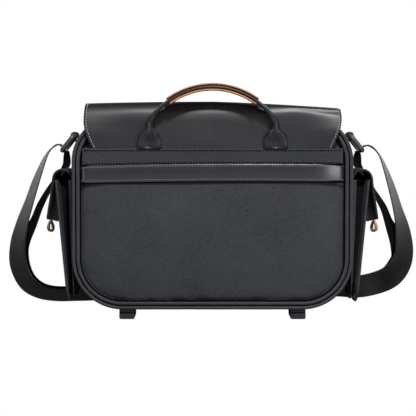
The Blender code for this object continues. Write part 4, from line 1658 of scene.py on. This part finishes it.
@dataclass(frozen=True)
class SidePocket:
    """A bellows pocket on one side, with its flap and pull loop.

    Attributes:
        side: which side.
        cloth: the outer wall's thickness.
        corner: its lower corners.
        hem: height of the sewn hem at the mouth.
        inset: how far inside the outer wall's edge the bellows lie.
        fold: how far their first fold stands out.
        valley: how far their second fold goes in.
        belly: how far the soft foot swells outward.
        rumple: depth of the wall's unevenness.
        lining: cloth of the bellows, their facing and the ear.
        facing: share of the pocket's depth that the facing covers at its mouth.
        flush: how far the facing's near side comes back to the body's rear.
        binding: width of the binding round the outer wall.
        bound: the binding's cloth.
        flap: the flap's leather.
        ripple: depth of its unevenness.
        dip: how much lower its far corner hangs, to each side of the middle.
        lean: how much closer to the body its far edge hangs.
        tuck: how far the pull loop goes up under the flap's edge.
        twist: how far it is turned, in degrees.
        stitching: its stitches.
    """

    side: Side
    cloth: float = 0.0018
    corner: float = 0.020
    hem: float = 0.009
    inset: float = 0.0062
    fold: float = 0.0052
    valley: float = 0.0120
    belly: float = 0.0028
    rumple: float = 0.0007
    lining: float = 0.0010
    facing: float = 0.27
    flush: float = 0.0085
    binding: float = 0.0032
    bound: float = 0.0012
    flap: float = 0.0030
    ripple: float = 0.0006
    dip: float = 0.0034
    lean: float = 0.0044
    tuck: float = 0.0022
    twist: float = 24.0
    stitching: Stitching = Stitching(0.0036, 0.0026, 0.0004)

    def place(self, x: float, y: float, z: float) -> Vector:
        """A place on this side, from its distance to the bag's middle."""
        return Vector((self.side.value * x, y, z))

    def build(self) -> None:
        """Make the wall, the bellows, the flap and the loop."""
        low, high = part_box(f"side_pocket_panel_{self.side.word}")
        reach = sorted((abs(low.x), abs(high.x)))
        ends = reach[0] + self.cloth, reach[1]
        self.build_wall(low, high, ends)
        self.build_bellows(low, high, ends)
        self.build_flap()
        self.build_pull()

    def face(self, share: float, ends: tuple[float, float]) -> float:
        """The outer wall's reach at a share of its height, from the CAD reach at both ends."""
        return ends[0] + (ends[1] - ends[0]) * share + self.belly * (1 - share)

    def build_wall(self, low: Vector, high: Vector, ends: tuple[float, float]) -> None:
        """Make the outer wall with its sewn hem.

        Args:
            low: lowest corner of its box.
            high: its highest corner.
            ends: its reach at its foot and at the mouth.
        """
        out, word = Vector((self.side.value, 0, 0)), self.side.word
        mouth = high.z - self.hem
        rows = []
        levels, columns = 40, 20
        for i in range(levels + 1):
            share = i / levels
            z = low.z + (high.z - low.z) * share
            under = max(0.0, low.z + self.corner - z)
            cut = self.corner - math.sqrt(max(0.0, self.corner ** 2 - under ** 2))
            cut = min(cut, self.corner * 0.88)
            face = self.face(share, ends) - (0.0 if z > mouth else 0.0004)
            row = []
            for k in range(columns + 1):
                y = low.y + cut + (high.y - low.y - 2 * cut) * k / columns
                pinch = self.rumple * noise.noise(Vector((y * 30, z * 22, self.side.value * 2.0)))
                row.append(self.place(face + pinch, y, z))
            rows.append(row)
        node = f"side_pocket_panel_{word}"
        give(sheet(f"{node}_cloth", rows, self.cloth, out), TWILL, nodes=[node])
        seam = [p + out * 0.0002 for p in [row for row in rows if row[0].z < mouth][-1]]
        self.stitching.run(f"side_pocket_{word}_hem_stitches", [seam])

    def wrap(self, low: Vector, high: Vector) -> list[tuple[Vector, Vector]]:
        """The line round the pocket, from its mouth under its foot and up again.

        Args:
            low: lowest corner of the outer wall's box.
            high: its highest corner.

        Returns:
            Places and outward ways, both as depth and height.
        """
        near, far = low.y + self.inset, high.y - self.inset
        start = low.z + self.inset + self.corner
        path = [(near, high.z + (start - high.z) * k / 12) for k in range(13)]
        path += arc((near + self.corner, start), self.corner, 180, 90, 9)[1:]
        path += [(near + far - y, z) for y, z in reversed(path)]
        line = []
        for i, place in enumerate(path):
            before, after = path[max(i - 1, 0)], path[min(i + 1, len(path) - 1)]
            way = Vector((after[0] - before[0], after[1] - before[1])).normalized()
            line.append((Vector(place), Vector((way.y, -way.x))))
        return line

    def build_bellows(self, low: Vector, high: Vector, ends: tuple[float, float]) -> None:
        """Make the folded wall between the body and the outer wall, and its facings.

        Args:
            low: lowest corner of the outer wall's box.
            high: its highest corner.
            ends: the outer wall's reach at its foot and at the mouth.
        """
        word = self.side.word
        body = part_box(f"side_panel_{word}")
        first = max(abs(body[0].x), abs(body[1].x)) + 0.0006
        folds: Rows = []
        facing: Rows = []
        binding: Rows = []
        for place, way in self.wrap(low, high):
            share = (place.y - low.z) / (high.z - low.z)
            last = self.face(share, ends) - self.cloth - 0.0005
            span = last - first
            depth = min(self.fold, span * 0.42)
            rows = ([], [], [])
            for k in range(33):
                t = k / 32
                crest = depth * ease(t / 0.05) * (1 - ease((t - 0.24) / 0.10))
                crest -= self.valley * ease((t - 0.30) / 0.14) * (1 - ease((t - 0.86) / 0.14))
                spot = place + way * crest
                rows[0].append(self.place(first + span * t, spot.x, spot.y))
            for k in range(9):
                round_off = 0.0008 * abs(k / 4 - 1) ** 3
                flush = self.flush * (1 - k / 8) * max(0.0, -way.x) ** 2
                spot = place + way * (depth + 0.0012 - round_off + flush)
                broad = self.facing * (0.3 + 0.7 * ease((spot.y - 0.02) / 0.09))
                rows[1].append(self.place(first + 0.0008 + span * broad * k / 8, spot.x, spot.y))
                spot = place + way * (self.inset + 0.0012 - round_off)
                rows[2].append(self.place(last - 0.0008 + self.binding * k / 8, spot.x, spot.y))
            folds.append(rows[0])
            facing.append(rows[1])
            binding.append(rows[2])
        under = Vector((0, 0, -1))
        # The folded wall takes the darker twill copy: painted shade in the bellows' valley.
        item = sheet(f"side_pocket_gusset_{word}_cloth", folds, self.lining, under)
        give(item, SHADE_TWILL, nodes=[f"side_pocket_gusset_{word}"])
        give(sheet(f"side_pocket_facing_{word}_cloth", facing, self.lining, under), TWILL)
        give(sheet(f"side_pocket_binding_{word}_cloth", binding, self.bound, under), TWILL)

    def build_ear(self, hinge: float, outer: float, crown: float, far: float) -> None:
        """Make the cloth ear that closes the pocket's far end under the flap.

        Args:
            hinge: reach of the flap's hinge.
            outer: reach of the flap's tip.
            crown: height of the flap's crown.
            far: depth of the flap's far edge.
        """
        start, end, low = hinge - 0.0100, outer - 0.0104, crown - 0.0250
        rows = []
        for i in range(9):
            row = []
            for k in range(17):
                x = start + (end - start) * k / 16
                top = crown - 0.0052 - 0.0050 * ease((hinge - 0.0050 - x) / 0.006)
                top -= 0.0060 * ease((x - hinge - 0.003) / 0.007)
                row.append(self.place(x, far - 0.0022, low + (top - low) * i / 8))
            rows.append(row)
        name = f"side_pocket_ear_{self.side.word}_cloth"
        # The ear takes the darker twill copy: painted shade under the pocket flap.
        give(sheet(name, rows, self.lining, Vector((0, 1, 0))), SHADE_TWILL)

    def build_flap(self) -> None:
        """Make the pocket's flap in one length over its crown, with a stitched edge."""
        word = self.side.word
        root_low, root_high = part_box(f"side_flap_root_{word}")
        low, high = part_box(f"side_flap_{word}")
        inner = min(abs(root_low.x), abs(root_high.x))
        hinge = max(abs(root_low.x), abs(root_high.x))
        outer = max(abs(low.x), abs(high.x))
        crown, tip = high.z, low.z
        profile = [
            (inner, root_low.z),
            (inner + 0.0040, crown - 0.0048),
            (inner + 0.0085, crown - 0.0010),
            (hinge, crown),
            (hinge + 0.0040, crown - 0.0006),
            (outer - 0.0105, crown - 0.0040),
            (outer - 0.0076, crown - 0.0100),
            (outer - 0.0064, crown - 0.0200),
            (outer - 0.0038, crown - 0.0400),
            (outer - 0.0012, tip + 0.0080),
            (outer, tip),
        ]
        line = smoothed([Vector((x, 0, z)) for x, z in profile], 5)
        near, far = low.y, high.y
        columns = 24
        rows = []
        for p in line:
            hang = ease((crown - 0.008 - p.z) / 0.05) if p.x > hinge else 0.0
            draw = 0.004 * max(0.0, (tip + 0.0040 - p.z) / 0.0040) ** 2 if p.x > hinge else 0.0
            row = []
            for k in range(columns + 1):
                share = k / columns
                y = near + draw + (far - near - 2 * draw) * share
                wave = self.ripple * noise.noise(Vector((y * 34, p.z * 30, self.side.value * 5.0)))
                z = p.z + self.dip * (1 - 2 * share) * hang
                row.append(self.place(p.x + wave - self.lean * share * hang, y, z))
            rows.append(row)
        self.build_ear(hinge, outer, crown, far)
        ends = [tuple(self.place(hinge + step, 0, crown)) for step in (-0.002, 0.006)]
        swing = Bend("bag", f"side_flap_{word}", *ends)
        item = sheet(f"side_flap_{word}_leather", rows, self.flap, Vector((self.side.value, 0, 0.6)))
        # The pocket flap takes the darker leather copy: painted shade.
        give(item, SHADE_LEATHER, swing, nodes=[f"side_flap_root_{word}", f"side_flap_{word}"])
        hung = [row for row in rows if abs(row[0].x) > hinge]
        lines = [[row[1] for row in hung], [row[-2] for row in hung]]
        self.stitching.run(f"side_flap_{word}_stitches", lines, swing)

    def build_pull(self) -> None:
        """Make the tan pull loop with its black lining, which takes the darker leather copy: painted
        shade.
        """
        word = self.side.word
        low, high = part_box(f"pull_loop_{word}")
        middle, depth = (low.x + high.x) / 2, (low.y + high.y) / 2
        top, tall = high.z + self.tuck, high.z - low.z - 0.0012
        half, wide = (high.x - low.x) * 0.39, (high.y - low.y) * 0.36
        centre, axis = Vector((middle, 0, top - tall * 0.62)), Vector((middle, depth, top))
        turn = Matrix.Rotation(math.radians(-self.twist * self.side.value), 3, "Z")
        steps = 36
        for kind, finish, inset, thick, nodes in (
            ("leather", TAN, 0.0, 0.0014, [f"pull_loop_{word}"]),
            # The lining takes the darker leather copy: painted shade.
            ("lining", SHADE_LEATHER, 0.0013, 0.0011, []),
        ):
            rings = []
            ring = section(thick / 2, wide, 5.0, 12)
            for k in range(1, steps):
                angle = math.tau * k / steps
                bulge = math.sin(angle / 2) ** 1.2 * math.sin(angle) / 0.74
                x = middle + (half - inset) * bulge
                z = top - 0.0006 - inset - (tall - 2 * inset) * (1 - math.cos(angle)) / 2
                out = (Vector((x, 0, z)) - centre).normalized()
                arm = Vector((x, depth, z)) - axis
                rings.append([turn @ (arm + out * a + Vector((0, b, 0))) + axis for a, b in ring])
            item = loft(f"pull_loop_{word}_{kind}", rings)
            give(item, finish, Carrier(f"side_flap_{word}"), nodes=nodes)


@dataclass(frozen=True)
class RingHanger:
    """A strap ring in its leather tab on one side.

    Attributes:
        side: which side.
        eye: X and Z of the ring's axis, on the right side.
        wire: radius of the ring's wire.
        length: from the axis to the outer bar.
        slant: degrees outward from hanging straight down.
        clear: width inside the ring.
        corner: radius of its corners.
        leather: the tab's thickness.
        play: room between wire and tab, and between the tab's layers.
    """

    side: Side
    eye: tuple[float, float] = (0.1765, 0.2235)
    wire: float = 0.0031
    length: float = 0.0240
    slant: float = 38.5
    clear: float = 0.033
    corner: float = 0.006
    leather: float = 0.0015
    play: float = 0.0003

    def build(self) -> None:
        """Make the ring and its tab."""
        word = self.side.word
        low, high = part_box(f"ring_{word}")
        middle = (low.y + high.y) / 2
        slant = math.radians(self.slant)
        down = Vector((self.side.value * math.sin(slant), 0, -math.cos(slant)))
        axis = Vector((self.side.value * self.eye[0], middle, self.eye[1]))
        half = self.clear / 2 + self.wire - self.corner
        near, far = self.corner, self.length - self.corner
        path = []
        corners = ((half, near, -90), (half, far, 0), (-half, far, 90), (-half, near, 180))
        for across, along, first in corners:
            for y, reach in arc((across, along), self.corner, first, 90, 6):
                path.append(axis + Vector((0, y, 0)) + down * reach)
        item = tube(f"ring_{word}_wire", path, lambda i: self.wire, True, 12)
        give(item, METAL, Carrier(f"ring_{word}"), nodes=[f"ring_{word}"])
        self.build_tab(axis)

    def build_tab(self, axis: Vector) -> None:
        """Make the tab folded round the ring's axis.

        Args:
            axis: the ring's axis point.
        """
        word = self.side.word
        low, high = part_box(f"ring_tab_{word}")
        wall = min(abs(low.x), abs(high.x)) + self.leather / 2
        bore = self.wire + self.play + self.leather / 2
        gap = self.leather + self.play
        path = [(wall, low.z), (wall, axis.z - 0.030), (wall, axis.z - 0.020)]
        path += arc((abs(axis.x), axis.z), bore, 190, -270, 12)
        path += [(wall + gap, axis.z - 0.018), (wall + gap, low.z)]
        rings = []
        line = smoothed([Vector((x, 0, z)) for x, z in path], 3)
        for p, along in zip(line, directions(line)):
            out = Vector((-along.z, 0, along.x))
            ring = []
            for a, b in section(self.leather / 2, (high.y - low.y) / 2, 5.0, 14):
                spot = p + out * a
                ring.append(Vector((self.side.value * spot.x, (low.y + high.y) / 2 + b, spot.z)))
            rings.append(ring)
        give(loft(f"ring_tab_{word}_leather", rings), LEATHER, nodes=[f"ring_tab_{word}"])


@dataclass(frozen=True)
class Strap:
    """The shoulder strap: its main length, its two doubled tails and their sliders.

    Attributes:
        width: the webbing's width.
        thickness: its thickness.
        layers: distance between the main length and a tail.
        slack: how much further apart they lie where a tail joins.
        wall: a slider's metal.
        rim: how far its rims are rounded off.
        steps: sections between two route points.
    """

    width: float = 0.030
    thickness: float = 0.0018
    layers: float = 0.0031
    slack: float = 0.0035
    wall: float = 0.0024
    rim: float = 0.0012
    steps: int = 8

    # The route: x, depth from the rear plane, height; then the way the far edge points.
    MAIN = (
        ((-0.1908, 0.119, 0.2087), (0, 1, 0)),
        ((-0.1975, 0.119, 0.2121), (0, 1, 0)),
        ((-0.2055, 0.119, 0.2080), (-0.1, 1, 0)),
        ((-0.2145, 0.120, 0.1960), (-0.25, 1, 0)),
        ((-0.2265, 0.121, 0.1670), (-0.45, 1, 0)),
        ((-0.2365, 0.124, 0.1380), (-0.55, 1, 0)),
        ((-0.2470, 0.130, 0.1080), (-0.75, 1, 0)),
        ((-0.2540, 0.138, 0.0790), (-0.95, 0.9, 0)),
        ((-0.2540, 0.147, 0.0520), (-0.95, 0.75, -0.3)),
        ((-0.2445, 0.156, 0.0290), (-0.6, 0.75, -0.7)),
        ((-0.2280, 0.163, 0.0165), (-0.3, 0.85, -0.75)),
        ((-0.2060, 0.168, 0.0120), (-0.05, 0.85, -0.7)),
        ((-0.1800, 0.1715, 0.0130), (0, 0.75, -0.75)),
        ((-0.1500, 0.1747, 0.0193), (0, 0.1, -1)),
        ((-0.1250, 0.1750, 0.0200), (0, 0, -1)),
        ((-0.0980, 0.1750, 0.0200), (0, 0, -1)),
        ((-0.0700, 0.1750, 0.0200), (0, 0, -1)),
        ((-0.0500, 0.1762, 0.0200), (0, 0, -1)),
        ((-0.0150, 0.1860, 0.0195), (0, 0, -1)),
        ((0.0200, 0.2010, 0.0195), (0, 0, -1)),
        ((0.0500, 0.2106, 0.0200), (0, 0, -1)),
        ((0.0700, 0.2120, 0.0200), (0, 0, -1)),
        ((0.0980, 0.2120, 0.0200), (0, 0, -1)),
        ((0.1250, 0.2120, 0.0200), (0, 0, -1)),
        ((0.1500, 0.2119, 0.0200), (0, 0, -1)),
        ((0.1750, 0.2098, 0.0197), (0, 0, -1)),
        ((0.1970, 0.2050, 0.0190), (0, 0, -1)),
        ((0.2180, 0.1970, 0.0235), (0.15, 0.1, -1)),
        ((0.2370, 0.1820, 0.0330), (0.5, 0.2, -0.9)),
        ((0.2480, 0.1660, 0.0490), (0.8, 0.4, -0.6)),
        ((0.2520, 0.1500, 0.0700), (0.95, 0.7, -0.2)),
        ((0.2490, 0.1370, 0.0950), (0.9, 0.9, 0)),
        ((0.2415, 0.1270, 0.1240), (0.6, 1, 0)),
        ((0.2320, 0.1220, 0.1560), (0.45, 1, 0)),
        ((0.2200, 0.1200, 0.1890), (0.25, 1, 0)),
        ((0.2110, 0.1190, 0.2040), (0.1, 1, 0)),
        ((0.2010, 0.1190, 0.2108), (0, 1, 0)),
        ((0.1922, 0.1190, 0.2087), (0, 1, 0)),
    )
    LEFT_TOP = (
        ((-0.1876, 0.119, 0.2038), (-0.3, 1, 0)),
        ((-0.1872, 0.119, 0.1960), (-0.40, 1, 0)),
        ((-0.1880, 0.119, 0.1860), (-0.44, 1, 0)),
        ((-0.1962, 0.119, 0.1730), (-0.36, 1, 0)),
        ((-0.2092, 0.120, 0.1560), (-0.34, 1, 0)),
        ((-0.2224, 0.123, 0.1330), (-0.42, 1, 0)),
        ((-0.2335, 0.128, 0.1070), (-0.5, 1, 0)),
    )
    RIGHT_TOP = (
        ((0.1876, 0.119, 0.2038), (0.3, 1, 0)),
        ((0.1870, 0.119, 0.1960), (0.46, 1, 0)),
        ((0.1876, 0.119, 0.1860), (0.48, 1, 0)),
        ((0.1950, 0.119, 0.1730), (0.38, 1, 0)),
        ((0.2068, 0.120, 0.1540), (0.34, 1, 0)),
        ((0.2216, 0.123, 0.1300), (0.42, 1, 0)),
        ((0.2320, 0.129, 0.1030), (0.55, 1, 0)),
    )

    def beside(self, join: int, end: int) -> list[tuple[Vector, Vector]]:
        """The stretch of a tail that lies on the main length.

        Args:
            join: the main route's point where the tail comes to lie on it.
            end: the main route's point inside the slider.

        Returns:
            Route points.
        """
        step = 1 if end > join else -1
        stretch = []
        for i in range(join, end + step, step):
            place, way = Vector(self.MAIN[i][0]), Vector(self.MAIN[i][1]).normalized()
            along = (Vector(self.MAIN[i + 1][0]) - Vector(self.MAIN[i - 1][0])).normalized()
            apart = self.layers + self.slack * max(0.0, 1 - abs(i - join) / 5)
            stretch.append((place + along.cross(way).normalized() * apart, way))
        return stretch

    def ribbon(
        self, node: str, route: Sequence, form: BodyForm, finish: Finish = WEBBING
    ) -> bpy.types.Object:
        """Args:
            node: the CAD node that it stands for.
            route: places and ways.
            form: the body.
            finish: the webbing's surface.

        Returns:
            The finished webbing.
        """
        line = smoothed([form.at(*place) for place, _ in route], self.steps)
        edge_ways = smoothed([Vector(way).normalized() for _, way in route], self.steps)
        ring = section(self.thickness / 2, self.width / 2, 6.0, 20)
        rings = []
        uv = []
        run = 0.0
        for k, (middle, along, far) in enumerate(zip(line, directions(line), edge_ways)):
            far = (far - along * far.dot(along)).normalized()
            out = along.cross(far).normalized()
            run += (middle - line[k - 1]).length if k else 0.0
            rings.append([middle + out * a + far * b for a, b in ring])
            uv += [(b, run) for _, b in ring]
        item = loft(f"{node}_webbing", rings)
        add_uv(item, uv)
        give(item, finish, nodes=[node])
        return item

    def build(self, form: BodyForm) -> None:
        """Make the three lengths and the two sliders.

        Args:
            form: the body.
        """
        self.ribbon("strap_main", self.MAIN, form)
        # The tails take the darker webbing copy: painted shade.
        self.ribbon("strap_tail_left", list(self.LEFT_TOP) + self.beside(7, 15), form, SHADE_WEBBING)
        self.ribbon("strap_tail_right", list(self.RIGHT_TOP) + self.beside(30, 22), form, SHADE_WEBBING)
        for side in Side:
            self.slider(side)

    def slider(self, side: Side) -> None:
        """Make a slider as its solid with rounded edges.

        Args:
            side: which one.
        """
        node = f"slider_{side.word}"
        low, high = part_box(node)
        centre, half = (low + high) / 2, (high - low) / 2
        sections = []
        for x, cut in (
            (low.x, self.rim), (low.x + 0.0008, 0.0), (high.x - 0.0008, 0.0), (high.x, self.rim),
        ):
            sections.append((x, section(half.y - cut, half.z - cut, 6.0, 32)))
        for x in (high.x, low.x):
            sections.append((x, section(half.y - self.wall, half.z - self.wall, 12.0, 32)))
        rings = [[Vector((x, centre.y + a, centre.z + b)) for a, b in ring] for x, ring in sections]
        item = loft(f"{node}_metal", rings, closed=True)
        give(item, METAL, Carrier(node), nodes=[node])


@dataclass(frozen=True)
class LashLoops:
    """Leather loops under the base, which the bag stands on.

    Attributes:
        leather: its thickness.
        crease: how deep each end is pinched above its roll.
    """

    leather: float = 0.0028
    crease: float = 0.0022

    def build(self) -> None:
        """Make the four loops."""
        for row in ("rear", "front"):
            for side in Side:
                self.loop(f"lash_loop_{row}_{side.word}")

    def loop(self, node: str) -> None:
        """Make one flattened loop.

        Args:
            node: the CAD node that it stands for.
        """
        low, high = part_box(node)
        tall = high.z - low.z
        path: list[tuple[Vector, Vector]] = []
        for end, first in ((low.y + tall / 2, 90), (high.y - tall / 2, 270)):
            middle = Vector(((low.x + high.x) / 2, end, (low.z + high.z) / 2))
            for y, z in arc((0.0, 0.0), 1.0, first, 180, 32):
                pinch = self.crease * hump(z, 0.42, 0.22)
                out = Vector((0, y, z))
                path.append((middle + out * ((tall - self.leather) / 2 - pinch), out))
        ring = section(self.leather / 2, (high.x - low.x) / 2, 5.0, 16)
        rings = [[p + out * a + Vector((b, 0, 0)) for a, b in ring] for p, out in path]
        give(loft(f"{node}_leather", rings, closed=True), LEATHER, nodes=[node])


@dataclass(frozen=True)
class Snaps:
    """The magnetic snaps that hold the flap's front.

    Attributes:
        nodes: their CAD nodes.
    """

    nodes: tuple[str, ...] = ("snap_body_left", "snap_body_right", "snap_flap_left", "snap_flap_right")

    def build(self) -> None:
        """Give the snaps' solids their metal."""
        for node in self.nodes:
            slots = frame["nodes"][node].data.materials
            slots.clear()
            slots.append(METAL.material())


# Studio


def stand(name: str, data: bpy.types.ID, place: Triple, aim: Triple) -> bpy.types.Object:
    """Put a light or a camera into the scene.

    Args:
        name: its name.
        data: the light or camera.
        place: where it stands.
        aim: what it looks at.

    Returns:
        The object.
    """
    item = bpy.data.objects.new(name, data)
    bpy.context.collection.objects.link(item)
    item.location = place
    item.rotation_euler = (Vector(aim) - Vector(place)).to_track_quat("-Z", "Y").to_euler()
    return item


@dataclass(frozen=True)
class SoftBox:
    """An area light.

    Attributes:
        name: its name.
        place: where it stands.
        aim: what it looks at.
        size: width and height.
        power: watts.
    """

    name: str
    place: Triple
    aim: Triple
    size: tuple[float, float]
    power: float

    def build(self) -> None:
        """Add the light."""
        data = bpy.data.lights.new(self.name, "AREA")
        data.shape = "RECTANGLE"
        data.size, data.size_y = self.size
        data.energy = self.power
        stand(self.name, data, self.place, self.aim)


@dataclass(frozen=True)
class Studio:
    """Camera, white surround and lights.

    Attributes:
        lens: focal length in millimetres.
        eye: the camera's place.
        aim: what it looks at.
        ambient: brightness of the surround on the bag.
        mirrored: share of the floor's white that glossy surfaces mirror.
        boxes: the lights.
    """

    lens: float = 115.4
    eye: Triple = (-0.0054, -1.672, 0.214)
    aim: Triple = (-0.0054, -0.0718, 0.136)
    ambient: float = 0.02
    mirrored: float = 0.40
    boxes: tuple[SoftBox, ...] = (
        SoftBox("key", (0.16, -1.14, 1.42), (0, -0.05, 0.17), (0.20, 0.20), 26.0),
        SoftBox("left", (-0.70, -1.90, 0.90), (0, 0, 0.15), (0.90, 0.90), 2.6),
        SoftBox("left_strip", (-1.10, -0.80, 0.35), (-0.1, 0, 0.18), (0.20, 0.8), 1.0),
        SoftBox("right_strip", (0.75, -1.15, 0.42), (0.1, 0, 0.18), (0.20, 0.8), 4.4),
        SoftBox("front_left", (-1.00, 1.25, 0.50), (0, 0.05, 0.14), (1.40, 0.90), 13.0),
        SoftBox("front_right", (1.00, 1.25, 0.60), (0, 0.05, 0.14), (1.40, 0.90), 16.0),
    )

    def build(self) -> None:
        """Make the camera, the surround, the floor and the lights."""
        data = bpy.data.cameras.new("camera")
        data.lens = self.lens
        data.sensor_width = 36.0
        scene = bpy.context.scene
        scene.camera = stand("camera", data, self.eye, self.aim)
        scene.view_settings.view_transform = "Standard"
        self.surround(scene)
        self.floor()
        for box in self.boxes:
            box.build()

    def surround(self, scene: bpy.types.Scene) -> None:
        """A white background that lights the bag only softly.

        Args:
            scene: the scene.
        """
        world = bpy.data.worlds.new("surround")
        scene.world = world
        world.use_nodes = True
        tree = Tree(world.node_tree)
        output = tree.add("ShaderNodeOutputWorld")
        mix = tree.add("ShaderNodeMixShader")
        path = tree.add("ShaderNodeLightPath")
        soft = tree.add("ShaderNodeBackground", {"Strength": self.ambient})
        white = tree.add("ShaderNodeBackground", {"Strength": 1.0, "Color": (1, 1, 1, 1)})
        tree.wire(
            (path, "Is Camera Ray", mix, "Fac"),
            (soft, "Background", mix, 1),
            (white, "Background", mix, 2),
            (mix, "Shader", output, "Surface"),
        )

    def floor(self) -> None:
        """A pale floor that the camera sees as plain white, and not at all from below."""
        reach = 6.0
        corners = ((-reach, -reach), (reach, -reach), (reach, reach), (-reach, reach))
        points = [Vector((x, y, 0)) for x, y in corners]
        ground = new_object("floor", points, [], [[0, 1, 2, 3]])
        graph = Graph("floor_white")
        graph.fill(graph.shader, {"Base Color": (0.12, 0.12, 0.12, 1)})
        path = graph.add("ShaderNodeLightPath")
        seen = graph.add(
            "ShaderNodeMath", {1: self.mirrored}, operation="MULTIPLY_ADD", use_clamp=True
        )
        glow, mix = graph.add("ShaderNodeEmission"), graph.add("ShaderNodeMixShader")
        side, clear = graph.add("ShaderNodeNewGeometry"), graph.add("ShaderNodeBsdfTransparent")
        whole = graph.add("ShaderNodeMixShader")
        graph.wire(
            (path, "Is Glossy Ray", seen, 0),
            (path, "Is Camera Ray", seen, 2),
            (seen, "Value", mix, "Fac"),
            (graph.shader, "BSDF", mix, 1),
            (glow, "Emission", mix, 2),
            (side, "Backfacing", whole, "Fac"),
            (mix, "Shader", whole, 1),
            (clear, "BSDF", whole, 2),
            (whole, "Shader", graph.output, "Surface"),
        )
        ground.data.materials.append(graph.material)


@dataclass
class CameraBag:
    """The whole bag, built piece by piece.

    Attributes:
        form: the body's form.
    """

    form: BodyForm = field(default_factory=BodyForm.from_frame)

    def build(self) -> None:
        """Dress every sub-assembly."""
        depth = self.form.front - self.form.rear
        EndPanel("back_panel", 0.001, 0.0092).build(self.form)
        EndPanel("front_panel", depth - 0.001, depth - 0.0092).build(self.form)
        EdgeRolls().build(self.form)
        SideWalls().build(self.form)
        Insert().build()
        Flap().build()
        BackTrim().build(self.form)
        Handle().build()
        for side in Side:
            SidePocket(side).build()
            RingHanger(side).build()
        Strap().build(self.form)
        LashLoops().build()
        Snaps().build()


def main() -> None:
    """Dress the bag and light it."""
    logging.basicConfig(level=logging.INFO, format="%(message)s")
    CameraBag().build()
    Studio().build()


if __name__ == "__main__":
    main()
